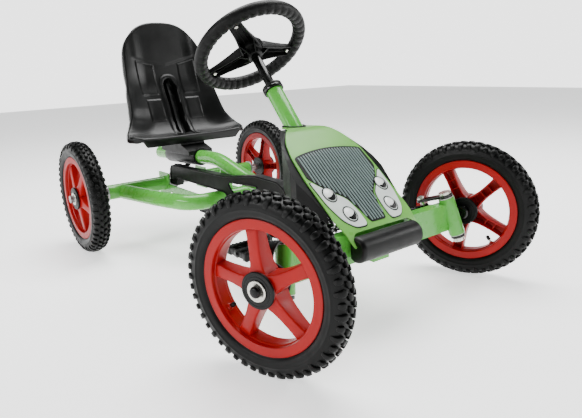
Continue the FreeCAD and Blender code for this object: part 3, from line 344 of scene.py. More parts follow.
class Shape:
    """Collects points, in metres, and faces of one mesh. A face's kind is its material's number."""

    def __init__(self):
        self.points = []
        self.faces = []
        self.kinds = []

    def add(self, points, faces, kind=0):
        base = len(self.points)
        self.points.extend(points)
        self.faces.extend([tuple(base + index for index in face) for face in faces])
        self.kinds.extend([kind] * len(faces))

    def merge(self, other, place=Matrix()):
        self.add([place @ point for point in other.points], other.faces)

    def grid(self, rows, closed=False, kind=0):
        """Faces between rows of equal length; closed joins each row's ends."""
        wide = len(rows[0])
        faces = []
        for row in range(len(rows) - 1):
            for column in range(wide if closed else wide - 1):
                after = (column + 1) % wide
                faces.append((row * wide + column, row * wide + after,
                              (row + 1) * wide + after, (row + 1) * wide + column))
        self.add([point for row in rows for point in row], faces, kind)

    def tube(self, sections):
        """A bar through closed sections of equal length, with both ends capped."""
        wide = len(sections[0])
        base = len(self.points)
        self.grid(sections, True)
        last = base + (len(sections) - 1) * wide
        self.faces.append(tuple(base + index for index in reversed(range(wide))))
        self.faces.append(tuple(last + index for index in range(wide)))
        self.kinds.extend([0, 0])

    def lathe(self, profile, segments, kind=0, closed=False):
        """Turns (radius, height) points, in mm, about local Z."""
        rows = [[Vector((*polar(math.tau * step / segments, radius / 1000), height / 1000))
                 for step in range(segments)] for radius, height in profile]
        if closed:
            rows.append(rows[0])
        self.grid(rows, True, kind)

    def knit(self, name):
        """A new mesh and a working copy of it, with doubled points merged and faces turned outwards."""
        mesh = bpy.data.meshes.new(name)
        mesh.from_pydata([tuple(point) for point in self.points], [], self.faces)
        for polygon, kind in zip(mesh.polygons, self.kinds):
            polygon.material_index = kind
        work = bmesh.new()
        work.from_mesh(mesh)
        bmesh.ops.remove_doubles(work, verts=work.verts, dist=0.000005)
        bmesh.ops.recalc_face_normals(work, faces=work.faces)
        return mesh, work

    def rounded(self, width, segments=2, angle=30):
        """The same shape with its edges sharper than the angle bevelled by a width in mm."""
        mesh, work = self.knit("scratch")
        limit = math.radians(angle)
        sharp = [edge for edge in work.edges if edge.is_manifold and edge.calc_face_angle(0) > limit]
        bmesh.ops.bevel(work, geom=sharp, offset=width / 1000, segments=segments, profile=0.5,
                        affect="EDGES", clamp_overlap=True)
        work.verts.ensure_lookup_table()
        work.verts.index_update()
        result = Shape()
        result.add([vertex.co.copy() for vertex in work.verts],
                   [tuple(vertex.index for vertex in face.verts) for face in work.faces])
        work.free()
        bpy.data.meshes.remove(mesh)
        return result

    def mesh(self, name, materials, smooth=35):
        mesh, work = self.knit(name)
        for material in materials:
            mesh.materials.append(M[material])
        work.to_mesh(mesh)
        work.free()
        mesh.shade_smooth()
        mesh.set_sharp_from_angle(angle=math.radians(smooth))
        return mesh


def lathed(profile, segments, closed=False):
    """A shape of one turned profile."""
    shape = Shape()
    shape.lathe(profile, segments, 0, closed)
    return shape


def round_corners(corners, radius, steps=5):
    """An outline of 2-D corners with each corner rounded by an arc-like curve."""
    result = []
    for index, corner in enumerate(corners):
        here = Vector(corner)
        before = Vector(corners[index - 1])
        after = Vector(corners[(index + 1) % len(corners)])
        reach = min(radius, (before - here).length * 0.45, (after - here).length * 0.45)
        first = here + (before - here).normalized() * reach
        last = here + (after - here).normalized() * reach
        result += [first * (1 - t) ** 2 + here * 2 * t * (1 - t) + last * t * t
                   for t in steps_to_one(steps)]
    return result


def slab(outline, low, high):
    """A flat plate, in mm: a 2-D outline given thickness along local Z."""
    shape = Shape()
    count = len(outline)
    points = [Vector((x, y, z)) / 1000 for z in (low, high) for x, y in outline]
    faces = [(index, (index + 1) % count, count + (index + 1) % count, count + index)
             for index in range(count)]
    faces.append(tuple(reversed(range(count))))
    faces.append(tuple(range(count, 2 * count)))
    shape.add(points, faces)
    return shape


def block(low, high):
    """A plain box between two corners, in mm."""
    outline = [(low[0], low[1]), (high[0], low[1]), (high[0], high[1]), (low[0], high[1])]
    return slab(outline, low[2], high[2])


def channel(stations, draft, wall, floor):
    """A bar along +X, open underneath, from (reach, half width, top, low) stations in mm."""
    bar = Shape()
    sections = []
    for reach, half, top, low in stations:
        left = [(half - 3, top), (half - draft, top - 2), (half, low),
                (half - wall, low), (half - wall, top - floor)]
        right = [(-across, up) for across, up in reversed(left)]
        sections.append([Vector((reach, across, up)) / 1000
                         for across, up in right[2:] + left + right[:2]])
    bar.tube(sections)
    return bar


# ---------------------------------------------------------------- wheels

WHEELS = {
    # body, joint, side, turn of the spokes and of the valve in degrees
    "front_right": ("front_right_wheel", "front_right_spin", -1, 28, 214),
    "front_left": ("front_left_wheel", "front_left_spin", 1, 63, 232),
    "rear_right": ("driven_axle", "rear_axle_spin", -1, 54, 28),
    "rear_left": ("rear_left_wheel", "rear_left_spin", 1, 30, 140),
}
OUTER_BORE = {"front": 6.1, "rear": 10.1}
INNER_BORE = {"front": 11.6, "rear": 10.4}
TYRE_PROFILE = [
    (150.5, 0), (150, 5), (149, 10), (147, 14.8), (144, 18.6), (140, 21.2), (135, 22.6), (131.2, 23.1),
    (130, 24), (128.6, 24), (127.6, 23.2), (124, 23.1), (120.5, 22.4), (118, 21.2), (116.4, 19.6),
    (115, 17.6), (112, 16.6), (104.5, 16),
]
LUGS = 50
VALVE_RADIUS = 0.0952


def wheel_place(name):
    """Local Z points outward along the wheel's axle, local X forward."""
    low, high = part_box(f"{name}_tyre")
    joint, side = WHEELS[name][1:3]
    outward = Vector(JOINTS[joint]["axis"]) * side
    return frame_at((low + high) / 2, Vector((0, 0, 1)).cross(outward), outward)


def tread_point(distance):
    """Radius, offset and slope on the tyre's outside, by distance from its centre line, in mm."""
    side = -1 if distance < 0 else 1
    left = abs(distance)
    for first, last in zip(TYRE_PROFILE, TYRE_PROFILE[1:]):
        span = math.dist(first, last)
        if left <= span or last == TYRE_PROFILE[-1]:
            share = left / span
            fall = (last[0] - first[0]) / span
            out = (last[1] - first[1]) / span
            return mix(first[0], last[0], share), side * mix(first[1], last[1], share), out, side * -fall
        left -= span


def tread_block(side, stations):
    """A rubber block over the tyre's skin, from (distance, first, last, height) stations in mm."""
    shape = Shape()
    sections = []
    flare, root = 0.7, -1.2
    for distance, first, last, height in stations:
        radius, offset, rise, lean = tread_point(side * distance)
        outline = ((first - flare, root), (first + flare, height),
                   (last - flare, height), (last + flare, root))
        sections.append([
            Vector((*polar(across / radius, radius + rise * lift), offset + lean * lift)) / 1000
            for across, lift in outline])
    shape.tube(sections)
    return shape.rounded(1.0, 2, 25)


LONG_LUG = ((10.5, -4.4, 4.6, 4.6), (14.5, -5.6, 5.2, 4.8), (19, -6.0, 4.6, 4.6), (23, -5.4, 3.8, 3.6),
            (27, -4.2, 3.2, 2.2), (30, -3.0, 2.6, 0.8))
SHORT_LUG = ((13.5, -4.8, 4.0, 4.6), (18, -5.6, 4.8, 4.6), (21.5, -5.0, 4.2, 3.8), (25, -3.8, 3.2, 1.6))
KNOB = ((0.8, -5.8, 3.4, 5.0), (4.2, -6.6, 5.2, 5.1), (8.6, -3.6, 6.4, 4.8))


def tyre_mesh():
    """Carcass turned from its profile, then rows of shoulder lugs and centre knobs."""
    shape = Shape()
    inside = [(radius, -offset) for radius, offset in reversed(TYRE_PROFILE)]
    shape.lathe(inside + TYRE_PROFILE[1:], 120, 0, True)
    for side, lug_phase, knob_phase in ((1, 0.25, 0.75), (-1, 0.75, 0.25)):
        lugs = [tread_block(side, stations) for stations in (SHORT_LUG, LONG_LUG)]
        knob = tread_block(side, KNOB)
        for step in range(LUGS):
            shape.merge(lugs[step % 2], turn_z(math.tau * (step + lug_phase) / LUGS))
            shape.merge(knob, turn_z(math.tau * (step + knob_phase) / LUGS))
    return shape.mesh("tyre_detail", ["tyre"], 40)


RIM_PROFILE = [
    (97.8, 18.4), (99, 19.2), (112.6, 19.2), (113.9, 18.4), (114, 16.6), (106, 15.8), (104.5, 14),
    (104.5, -14), (106, -15.8), (114, -16.6), (113.9, -18.4), (112.6, -19.2), (99, -19.2),
    (97.8, -18.4), (96.8, -16), (96.8, -12), (95, -9.8), (95, 9.8), (96.8, 12), (96.8, 16),
]
HUB_PROFILE = [
    (14, 20), (29, 20), (30.2, 19), (29.6, 12), (25.5, 8), (24.5, -12), (25.5, -19), (24, -20),
    (14, -20),
]
RIM_SPOKE = (
    (24, 17.6, 18.6, -17.8), (30, 15, 17.8, -17), (40, 12.6, 16.6, -15.8), (56, 11.4, 14.8, -14),
    (74, 11.4, 13, -12.4), (88, 12.2, 11.6, -11.2), (96.2, 13.2, 10.6, -10.4),
)


def spoke_shape():
    """One spoke along +X: a box bar, open towards the kart, with stiffening ribs inside."""
    shape = channel(RIM_SPOKE, 0.8, 3.4, 4.5).rounded(0.9, 2, 28)
    for radius in (52, 72):
        shape.merge(block((radius - 1, -8.5, -7.5), (radius + 1, 8.5, 10.5)))
    return shape


def rim_mesh():
    shape = Shape()
    shape.lathe(RIM_PROFILE, 120, 0, True)
    shape.lathe(HUB_PROFILE, 64, 0, True)
    spoke = spoke_shape()
    for step in range(5):
        shape.merge(spoke, turn_z(math.tau * step / 5))
    return shape.mesh("rim_detail", ["rim"], 30)


def hub_cap_mesh(bore):
    """The black disc with a rolled edge and a shallow groove."""
    return lathed([
        (bore, 20.1), (29.6, 20.1), (31, 21.4), (31, 23.8), (30, 25), (26.2, 25.2), (25.6, 24.6),
        (23.6, 24.6), (23, 25.2), (19.2, 25.2), (18.6, 24.6), (bore + 1, 24.6), (bore, 24),
    ], 72, True).mesh("hub_cap_detail", ["black"], 30)


def valve_shape():
    """Tyre valve: a red boss in the rim, a short metal stem and a black cap."""
    shape = Shape()
    shape.lathe([(0, -1), (6.2, -1), (5.8, 1.6), (3.6, 3.4), (0, 3.4)], 20, 0)
    shape.lathe([(0, 2), (2.6, 2), (2.6, 9), (0, 9)], 16, 1)
    shape.lathe([(0, 8.5), (3.6, 8.5), (4, 9.5), (4, 16), (3.4, 18.2), (1.8, 19.2), (0, 19.2)], 16, 2)
    return shape


def make_wheels():
    tyre = tyre_mesh()
    rim = rim_mesh()
    valve = valve_shape().mesh("valve", ["rim", "zinc", "black"], 30)
    for name, (body, _, _, spoke_angle, valve_angle) in WHEELS.items():
        place = wheel_place(name)
        settle(f"{name}_tyre_detail", tyre, body, place, [f"{name}_tyre"])
        settle(f"{name}_rim_detail", rim, body, place @ turn_z(math.radians(spoke_angle)),
               [f"{name}_rim"])
        settle(f"{name}_cap_detail", hub_cap_mesh(OUTER_BORE[name.split("_")[0]]), body,
               place, [f"{name}_hub_cap"])
        out_x, out_y = polar(math.radians(valve_angle), 1)
        root = frame_at(Vector((out_x, out_y, 0)) * VALVE_RADIUS, (0, 0, 1), (-out_x, -out_y, 0.25))
        settle(f"{name}_valve", valve, body, place @ root)


def nut_shape(thread):
    """Dished zinc washer with a black dome cap on the axle's end."""
    shape = Shape()
    shape.lathe([(thread, 25.2), (16.8, 25.2), (17.6, 25.8), (17.6, 26.8), (16.8, 27.6),
                 (15, 27.8), (12.8, 26.8), (thread, 26.6)], 48, 0, True)
    shape.lathe([(9.8, 26.2), (9.8, 30), (9.1, 32.2), (7.3, 34), (4.5, 35), (0, 35.4)], 40, 1)
    shape.lathe([(9.8, 26.2), (0, 26.2)], 40, 1)
    return shape


def make_axle_ends():
    """The shiny ring and dome seen at the middle of each wheel."""
    ends = {
        "front_right": ("right_knuckle", ["front_nut_right"]),
        "front_left": ("left_knuckle", ["front_nut_left"]),
        "rear_right": ("driven_axle", []),
        "rear_left": ("driven_axle", ["rear_axle_nuts"]),
    }
    for name, (body, replaced) in ends.items():
        nut = nut_shape(OUTER_BORE[name.split("_")[0]])
        put(nut, f"{name}_axle_end", ["zinc", "lamp_dark"], body, wheel_place(name), replaced, 30)


# ---------------------------------------------------------------- steering wheel

def steering_place():
    """Local Z points up the column, local X ahead, turned with the wheel."""
    straight = Vector((-COLUMN.z, 0, COLUMN.x))
    turned = Matrix.Rotation(STEER_TURN, 3, COLUMN) @ straight
    return frame_at(COLUMN_FOOT + COLUMN * WHEEL_ALONG, turned, COLUMN)


def grip_shape():
    """The rim of the wheel, with finger ridges on the side away from the driver."""
    ring, thick, ridge = 0.125, 0.0156, 0.0017
    ridges, steps, parts = 42, 320, 28
    rows = []
    for step in range(steps):
        around = math.tau * step / steps
        row = []
        for part in range(parts):
            turn = math.tau * part / parts
            groove = (0.5 + 0.5 * math.cos(ridges * around + 0.9 * math.sin(turn))) ** 3
            away = ease(-0.35, 0.55, -math.sin(turn) * 0.75 - math.cos(turn) * 0.55)
            radius = thick - ridge * groove * away
            reach = ring + radius * math.cos(turn)
            row.append(Vector((*polar(around, reach), radius * math.sin(turn))))
        rows.append(row)
    rows.append(rows[0])
    shape = Shape()
    shape.grid(rows, True)
    return shape


SPOKE_TURNS = (12, 103, 241)
WHEEL_SPOKE = ((12, 25, 5, -19), (30, 23.5, 5, -18.5), (55, 19.5, 4.5, -15), (85, 16.5, 4, -11.5),
               (114, 15.5, 4, -8.5))


def wheel_spoke_shape():
    """A wide channel-shaped spoke along +X, open on the side away from the driver."""
    shape = channel(WHEEL_SPOKE, 1, 3, 4).rounded(0.8, 2, 28)
    for across in (-5, 5):
        shape.merge(block((20, across - 0.8, -4), (110, across + 0.8, 2)))
    return shape


def make_steering_wheel():
    place = steering_place()
    shape = grip_shape()
    shape.lathe([(11.2, 6), (29, 6), (31, 4), (31, -8), (28.5, -12), (20, -15), (18.5, -25.5),
                 (17, -27), (11.2, -27)], 48, 0, True)
    spoke = wheel_spoke_shape()
    gusset = slab([(15, -26), (19, -26), (46, -10), (46, 0), (15, 0)], -1.6, 1.6)
    screw = lathed([(0, -4.5), (3, -4.5), (4.2, -3.5), (4.4, 0)], 16)
    screws = Shape()
    for angle in SPOKE_TURNS:
        turn = turn_z(math.radians(angle))
        shape.merge(spoke, turn)
        for skew in (-0.42, 0.42):
            shape.merge(gusset, turn @ turn_z(skew) @ UPRIGHT)
        screws.merge(screw, turn @ Matrix.Translation((0.104, 0, -0.0045)))
    mesh = shape.mesh("steering_wheel_detail", ["grip"])
    mesh.transform(place)
    settle("steering_wheel_detail", mesh, "steering", None, ["steering_wheel"])
    put(screws, "steering_wheel_screws", ["zinc"], "steering", place)
    pad = lathed([(0, 16.5), (15, 16), (23.5, 14), (26.2, 11.5), (27, 8.5), (27, 5.5), (0, 5.5)], 56)
    put(pad, "steering_pad_detail", ["gloss"], "steering", place,
        ["steering_wheel_pad"], 40)


def make_column_collar():
    """The flanged black bush on top of the head tube."""
    shape = lathed([(11.4, 19), (13.5, 18.6), (16.5, 16), (18.5, 11), (21.5, 8.5), (23.6, 6.6),
                    (24.2, 4), (23.8, 0.8), (20, 0), (11.4, 0)], 56, True)
    place = frame_at(COLUMN_FOOT + COLUMN * COLLAR_ALONG, (0, 1, 0), COLUMN)
    put(shape, "column_collar", ["gloss"], "frame", place, smooth=40)


# ---------------------------------------------------------------- bonnet

BONNET_REAR = 566
BONNET_FRONT = 835
REAR_HALF = 33
HORN_REACH = 18
HORN_TAPER = 2.5
NOTCH_AHEAD = 569.3
NOTCH_RADIUS = 23.5
# (ahead, height of the ridge line) and (ahead, half width)
TOP_LINE = [(566, 358.6), (600, 359), (614, 358), (628, 351), (645, 339), (678, 316), (702, 296),
            (726, 275.5), (763, 246), (800, 216), (836, 187), (845, 176), (853, 162)]
BONNET_HALF = [(566, 30), (600, 40), (622, 62), (645, 81), (678, 94), (702, 97), (727, 99), (770, 99),
               (800, 98.5), (814, 98), (824, 95.5), (834, 93), (844, 91.3), (853, 90)]


def between(table, key):
    """Straight-line reading of a sorted table of pairs."""
    for (x0, y0), (x1, y1) in zip(table, table[1:]):
        if key <= x1:
            return mix(y0, y1, max(0.0, (key - x0) / (x1 - x0)))
    return table[-1][1]


def softened(table, ahead):
    """A table's reading, averaged over 8 mm each way."""
    return sum(between(table, ahead + step) for step in (-8, -4, 0, 4, 8)) / 5


def bonnet_up(ahead):
    """Height of the bonnet's ridge line."""
    return softened(TOP_LINE, ahead)


def bonnet_normal(ahead):
    rise = (bonnet_up(ahead + 2) - bonnet_up(ahead - 2)) / 4
    return Vector((-rise, 0, 1)).normalized()


def bonnet_point(ahead, left, lift=0.0):
    """A point on the bonnet's face, crowned a little across, or lifted off it (mm)."""
    crown = -1.5 * (left / 100) ** 2
    normal = bonnet_normal(ahead)
    return spot(ahead, left, bonnet_up(ahead)) + normal * ((crown + lift) / 1000)


def bonnet_front(share):
    """Where a strip of the bonnet ends: at the bumper, or further down in the two horns."""
    corner = min(1.0, max(0.0, (abs(share) - 0.70) / 0.235))
    return BONNET_FRONT + HORN_REACH * (1 - math.sqrt(1 - corner ** 2.2))


def bonnet_rear(left):
    """The bonnet's rear edge runs round the front of the leaning steering column."""
    reach = abs(left) / NOTCH_RADIUS
    if reach >= 1:
        return BONNET_REAR
    notch = math.sqrt(1 - reach ** 2) * NOTCH_RADIUS / math.cos(COLUMN_LEAN)
    return max(BONNET_REAR, NOTCH_AHEAD + notch)


def make_bonnet():
    rows = []
    for row in steps_to_one(90):
        line = []
        for column in steps_to_one(120):
            share = math.sin(math.pi * (column - 0.5))
            ahead = mix(bonnet_rear(share * REAR_HALF), bonnet_front(share), row)
            inwards = math.copysign(HORN_TAPER, share) * ease(843, 853, ahead) * ease(0.93, 1.0, abs(share))
            line.append(bonnet_point(ahead, share * softened(BONNET_HALF, ahead) - inwards))
        rows.append(line)
    shape = Shape()
    shape.grid(rows)
    piece = put(shape, "bonnet_detail", ["bonnet"], "frame", None, ["bonnet"], 50)
    thicken(piece, 0.0029)
    add_bevel(piece, 0.0012, 3, 50)


def draped(outline, lift, thick, name, material, replaced=()):
    """A thin panel with a rounded outline in (ahead, left), laid on the bonnet's face."""
    work = bmesh.new()
    work.faces.new([work.verts.new((point[0], point[1], 0)) for point in outline])
    work.normal_update()
    step = 4.0
    for axis, normal in enumerate((Vector((1, 0, 0)), Vector((0, 1, 0)))):
        low = min(point[axis] for point in outline)
        high = max(point[axis] for point in outline)
        cut = math.floor(low / step) * step + step
        while cut < high:
            geometry = list(work.verts) + list(work.edges) + list(work.faces)
            bmesh.ops.bisect_plane(work, geom=geometry, plane_co=normal * cut, plane_no=normal)
            cut += step
    for vertex in work.verts:
        vertex.co = bonnet_point(vertex.co.x, vertex.co.y, lift)
    bmesh.ops.recalc_face_normals(work, faces=work.faces)
    if sum(face.normal.z for face in work.faces) < 0:
        bmesh.ops.reverse_faces(work, faces=work.faces)
    mesh = bpy.data.meshes.new(name)
    mesh.materials.append(M[material])
    work.to_mesh(mesh)
    work.free()
    mesh.shade_smooth()
    piece = settle(name, mesh, "frame", None, replaced)
    thicken(piece, thick / 1000)
    add_bevel(piece, min(0.0007, thick / 3000), 2, 50)


# (ahead, half width) down the grille, and (ahead, left) corners of the left lamp panel
GRILLE_HALF = [(676, 84), (684, 90), (724, 93), (744, 76), (776, 36), (800, 27), (826, 20)]
LAMP_MIDDLES = ((763, 71), (804, 56))
LAMP_RINGS = (
    # (radius, height) profile, number of its material
    (((14.9, 1.9), (14.6, 2.9), (13.0, 2.9), (12.8, 1.9)), 2),
    (((12.9, 2.1), (12.5, 3.3), (11.8, 3.5), (11.2, 2.9)), 0),
    (((11.2, 2.9), (8.6, 3.9), (5.6, 4.6), (2.6, 4.9), (0.02, 5.0)), 1),
)
LAMP_CORNERS = [(731, 95), (757, 66), (778, 39), (802, 33), (829, 33), (828, 62), (812, 80), (780, 91)]


def grille_rear(left):
    """The grille's upper edge bows towards the column in its middle."""
    return 672 + 10 * (abs(left) / 90) ** 2


def grille_outline():
    corners = [(grille_rear(left), left) for left in range(-84, 85, 14)]
    corners += GRILLE_HALF[1:]
    corners += [(ahead, -half) for ahead, half in reversed(GRILLE_HALF[1:])]
    return round_corners(corners, 5, 3)


def grille_end(left):
    """How far forward the grille reaches at that distance from the middle."""
    return between([(half, ahead) for ahead, half in reversed(GRILLE_HALF[2:])], abs(left))


def make_grille():
    draped(grille_outline(), 1.0, 2.0, "grille_panel", "grille_gap", ["grille"])
    pitch = 7.4
    rib = ((-1.8, 0), (-1.7, 1.1), (-1.4, 1.4), (1.4, 1.4), (1.7, 1.1), (1.8, 0))
    ribs = Shape()
    for index in range(-11, 12):
        left = index * pitch
        first = grille_rear(left) + 3.5
        last = grille_end(left) - 3.0
        sections = []
        for share in steps_to_one(max(4, int((last - first) / 6))):
            ahead = mix(first, last, share)
            end = 0.35 if share in (0, 1) else 1.0
            centre = bonnet_point(ahead, left, 0.9)
            normal = bonnet_normal(ahead)
            sections.append([centre + Vector((0, across / 1000, 0)) + normal * (up * end / 1000)
                             for across, up in rib])
        ribs.tube(sections)
    put(ribs, "grille_ribs", ["grille_rib"], "frame", smooth=45)


def ring_on_bonnet(shape, ahead, left, profile, kind):
    """A turned ring or dome standing on the bonnet's face; the profile is (radius, height) in mm."""
    segments = 36
    rows = []
    for radius, height in profile:
        around = [polar(math.tau * step / segments, radius) for step in range(segments)]
        rows.append([bonnet_point(ahead + x, left + y, height) for x, y in around])
    shape.grid(rows, True, kind)


def make_lamps():
    for side, label in ((1, "left"), (-1, "right")):
        outline = round_corners([(ahead, side * left) for ahead, left in LAMP_CORNERS], 9, 5)
        centre = sum(outline, Vector((0, 0))) / len(outline)
        edge = [centre + (point - centre) * 1.045 for point in outline]
        draped(edge, 0.7, 2.0, f"lamp_border_{label}", "lamp_dark")
        replaced = ["headlights"] if side > 0 else []
        draped(outline, 2.2, 2.6, f"lamp_panel_{label}", "lamp", replaced)
        lamps = Shape()
        for ahead, left in LAMP_MIDDLES:
            for profile, kind in LAMP_RINGS:
                ring_on_bonnet(lamps, ahead, side * left, profile, kind)
            crescent(lamps, ahead, side * left)
        put(lamps, f"lamps_{label}", ["lamp", "lamp_lens", "lamp_dark"], "frame", smooth=40)


def crescent(shape, ahead, left):
    """The dark reflector seen in the front outer part of a lamp."""
    rows = [[], [], []]
    for share in steps_to_one(24):
        angle = math.radians(-62 + 170 * share)
        swell = math.sin(math.pi * share) ** 0.7
        for row, reach, lift in zip(rows, (11.5, 11.0 - 3.6 * swell, 10.5 - 7.0 * swell), (3.4, 4.5, 5.2)):
            x, y = polar(angle, reach)
            row.append(bonnet_point(ahead + x, left + y, lift))
    shape.grid(rows, False, 2)


def make_bumper():
    """The soft half-round bar between the bonnet's horns, its ends rounded off."""
    low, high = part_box("bumper")
    back = low.x + 0.003
    centre = (low + high) / 2
    radius = (high.z - low.z) / 2 + 0.0005
    half = (high.y - low.y) / 2
    round_end = 0.009
    arc = [math.radians(mix(97, -97, part)) for part in steps_to_one(40)]
    rows = []
    for step in steps_to_one(96):
        share = math.sin(math.pi * (step - 0.5))
        fall = max(0.0, (abs(share) * half - (half - round_end)) / round_end)
        size = radius * (1 - 0.30 * (1 - math.sqrt(max(0.0, 1 - fall ** 2.2))))
        droop = (radius - size) * 0.25
        outline = [(-0.009, -0.80 * size), (-0.010, 0.80 * size)] + [polar(angle, size) for angle in arc]
        middle = Vector((back, centre.y + share * half, centre.z - droop))
        rows.append([middle + Vector((x, 0, z)) for x, z in outline])
    shape = Shape()
    shape.tube(rows)
    put(shape, "bumper_detail", ["bumper"], "frame", None, ["bumper"], 50)


# ---------------------------------------------------------------- seat

# (ahead, up) down the middle, then half width and raised edge at each of those points, in mm
SEAT_PATH = [(93, 285), (97, 304), (80, 306), (62, 303), (34, 312), (8, 345), (-8, 382), (-24, 417),
             (-40, 452), (-52, 498), (-62, 545), (-70, 585), (-77, 623)]
SEAT_HALF = [140, 153, 173, 181, 170, 150, 141, 137, 133, 127, 121, 119, 118]
SEAT_RAISED = [2, 3, 8, 12, 19, 20, 19, 18, 16, 12, 7, 4, 2]
# How far the border is turned outwards and back, ring by ring, in mm
ROLL = ((2.4, 0.7), (4.1, 2.4), (5.0, 5.2), (5.2, 9.0), (5.0, 13.0), (4.6, 17.0))


def seat_frame(share):
    """Middle point and facing direction of the seat at a share along its path."""
    here = along_line(SEAT_PATH, share)
    before = along_line(SEAT_PATH, share - 0.02)
    after = along_line(SEAT_PATH, share + 0.02)
    run = Vector((after[0] - before[0], 0, after[1] - before[1])).normalized()
    return spot(here[0], 0, here[1]), Vector((run.z, 0, -run.x))


def seat_relief(across, share):
    """Height of the seat's moulded details, in mm, by millimetres across and share along its path."""
    if share < 0.3:
        return 0.0
    up = along_line(SEAT_PATH, share)[1]
    reach = abs(across)
    # the head panel, raised above a shallow V
    vee = 503 + 0.24 * reach
    height = 2.6 * ease(vee - 2, vee + 2, up) * (1 - ease(84, 106, reach))
    # the slot with a round top: its raised rim, its trough, and the bar up its middle
    slot = math.hypot(reach, max(0.0, up - 442))
    height += 3.4 * ease(35, 29, slot)
    height -= 25.0 * ease(21, 16, slot)
    height += 10.0 * ease(6.5, 4.0, reach) * ease(20, 12, slot)
    # the back and loin panels either side of the slot
    back = max(abs(reach - 67) - 27 + 0.1 * max(0.0, 440 - up), 418 - up, up - (vee - 9))
    height += 2.0 * ease(1.2, -1.2, back)
    loin = max(abs(reach - 62) - 22, abs(up - 374) - 30)
    height += 1.8 * ease(1.2, -1.2, loin)
    return height


def seat_point(side_share, share):
    """A point of the seat's face by shares across and along it."""
    middle, facing = seat_frame(share)
    place = min(max(share, 0.0), 1.0) * (len(SEAT_PATH) - 1)
    index = min(int(place), len(SEAT_PATH) - 2)
    half = mix(SEAT_HALF[index], SEAT_HALF[index + 1], place - index)
    raised = mix(SEAT_RAISED[index], SEAT_RAISED[index + 1], place - index)
    height = raised * ease(0.5, 1.05, abs(side_share)) + seat_relief(side_share * half, share)
    point = middle + facing * (height / 1000)
    return Vector((point.x, side_share * half / 1000, point.z))


def seat_face():
    """Rows of points from the front lip up to the arched top edge."""
    columns = []
    for column in steps_to_one(150):
        side_share = -1 + 2 * column
        end = mix(0.79, 1.0, math.sqrt(max(0.0, 1 - abs(side_share) ** 2.1)))
        columns.append([seat_point(side_share, end * row) for row in steps_to_one(190)])
    return list(zip(*columns))


def smoothed_ring(pairs, reach):
    """Pairs of directions round a closed loop, each averaged with its neighbours."""
    result = []
    for index in range(len(pairs)):
        near = [pairs[(index + step) % len(pairs)] for step in range(-reach, reach + 1)]
        result.append(tuple(sum((pair[part] for pair in near), Vector()).normalized() for part in (0, 1)))
    return result


def rolled_edge(rows):
    """Rings of points that turn the sheet's whole border outwards and back."""
    tall = len(rows) - 1
    wide = len(rows[0]) - 1
    border = [(0, column) for column in range(wide)] + [(row, wide) for row in range(tall)]
    border += [(tall, wide - column) for column in range(wide)] + [(tall - row, 0) for row in range(tall)]
    loop = [rows[row][column] for row, column in border]
    directions = []
    for index, (row, column) in enumerate(border):
        across = rows[row][min(column + 3, wide)] - rows[row][max(column - 3, 0)]
        upward = rows[min(row + 3, tall)][column] - rows[max(row - 3, 0)][column]
        back = across.cross(upward).normalized()
        run = (loop[(index + 3) % len(loop)] - loop[index - 3]).normalized()
        directions.append((-run.cross(back).normalized(), back))
    if directions[0][1].x > 0:
        directions = [(-out, -back) for out, back in directions]
    directions = smoothed_ring(directions, 9)
    rings = [loop]
    for out_by, back_by in ROLL:
        ring = []
        for (row, _), point, (out, back) in zip(border, loop, directions):
            depth = back_by * mix(0.55, 1.0, ease(0, 40, row))
            ring.append(point + out * (out_by / 1000) + back * (depth / 1000))
        rings.append(ring)
    return rings


def make_seat():
    rows = seat_face()
    shape = Shape()
    shape.grid(rows)
    shape.grid(rolled_edge(rows), True)
    piece = put(shape, "seat_detail", ["seat"], "seat", None, ["seat_shell"], 60)
    thicken(piece, 0.0040, -1 if piece.data.polygons[0].normal.x > 0 else 1)


# ---------------------------------------------------------------- knuckles, pedals and chain

def bar_section(width, thick, corner):
    """A flat bar's section with trimmed corners, as (across, up) pairs in mm."""
    w, t, c = width / 2, thick / 2, corner
    upper = [(w, t - c), (w - c, t), (c - w, t), (-w, t - c)]
    return [(-across, -up) for across, up in upper] + upper


BOW_PATH = [(9.5, 47.1), (17, 47), (27, 44), (36, 27), (38.5, 0),
            (36, -27), (27, -44), (17, -47), (9.5, -47.1)]


def knuckle_bow(side):
    """The bent flat bar between the kingpin's two ends, with its eyes."""
    shape = Shape()
    sections = []
    for share in steps_to_one(48):
        here = along_line(BOW_PATH, share)
        run = Vector(along_line(BOW_PATH, share + 0.01)) - Vector(along_line(BOW_PATH, share - 0.01))
        face = Vector((-run.y, run.x)).normalized()
        middle = math.sin(math.pi * share) ** 2
        shift = 8 * side * middle
        sections.append([
            Vector((here[0] + face.x * up, shift + across, here[1] + face.y * up)) / 1000
            for across, up in bar_section(mix(24, 19, middle), 6.2, 1.6)])
    shape.tube(sections)
    for end in (1, -1):
        eye = ((8.2, 44), (14.5, 44), (15.5, 45), (15.5, 49.2), (14.5, 50.2), (8.2, 50.2))
        shape.lathe([(radius, end * height) for radius, height in eye], 40, 0, True)
    return shape


def steering_arm(tip):
    """The flat arm from the kingpin to the tie rod's pin at tip, in mm."""
    way = Vector((tip.x, tip.y)).normalized()
    across = Vector((-way.y, way.x))
    outline = [way * 9.5 + across * 11.8, way * 9.5 - across * 11.8]
    for step in range(13):
        along, aside = polar(math.radians(-90 + 15 * step), 10.5)
        outline.append(Vector((tip.x, tip.y)) + way * along + across * aside)
    return slab(outline, 44.3, 49.8).rounded(1.1, 2, 40)


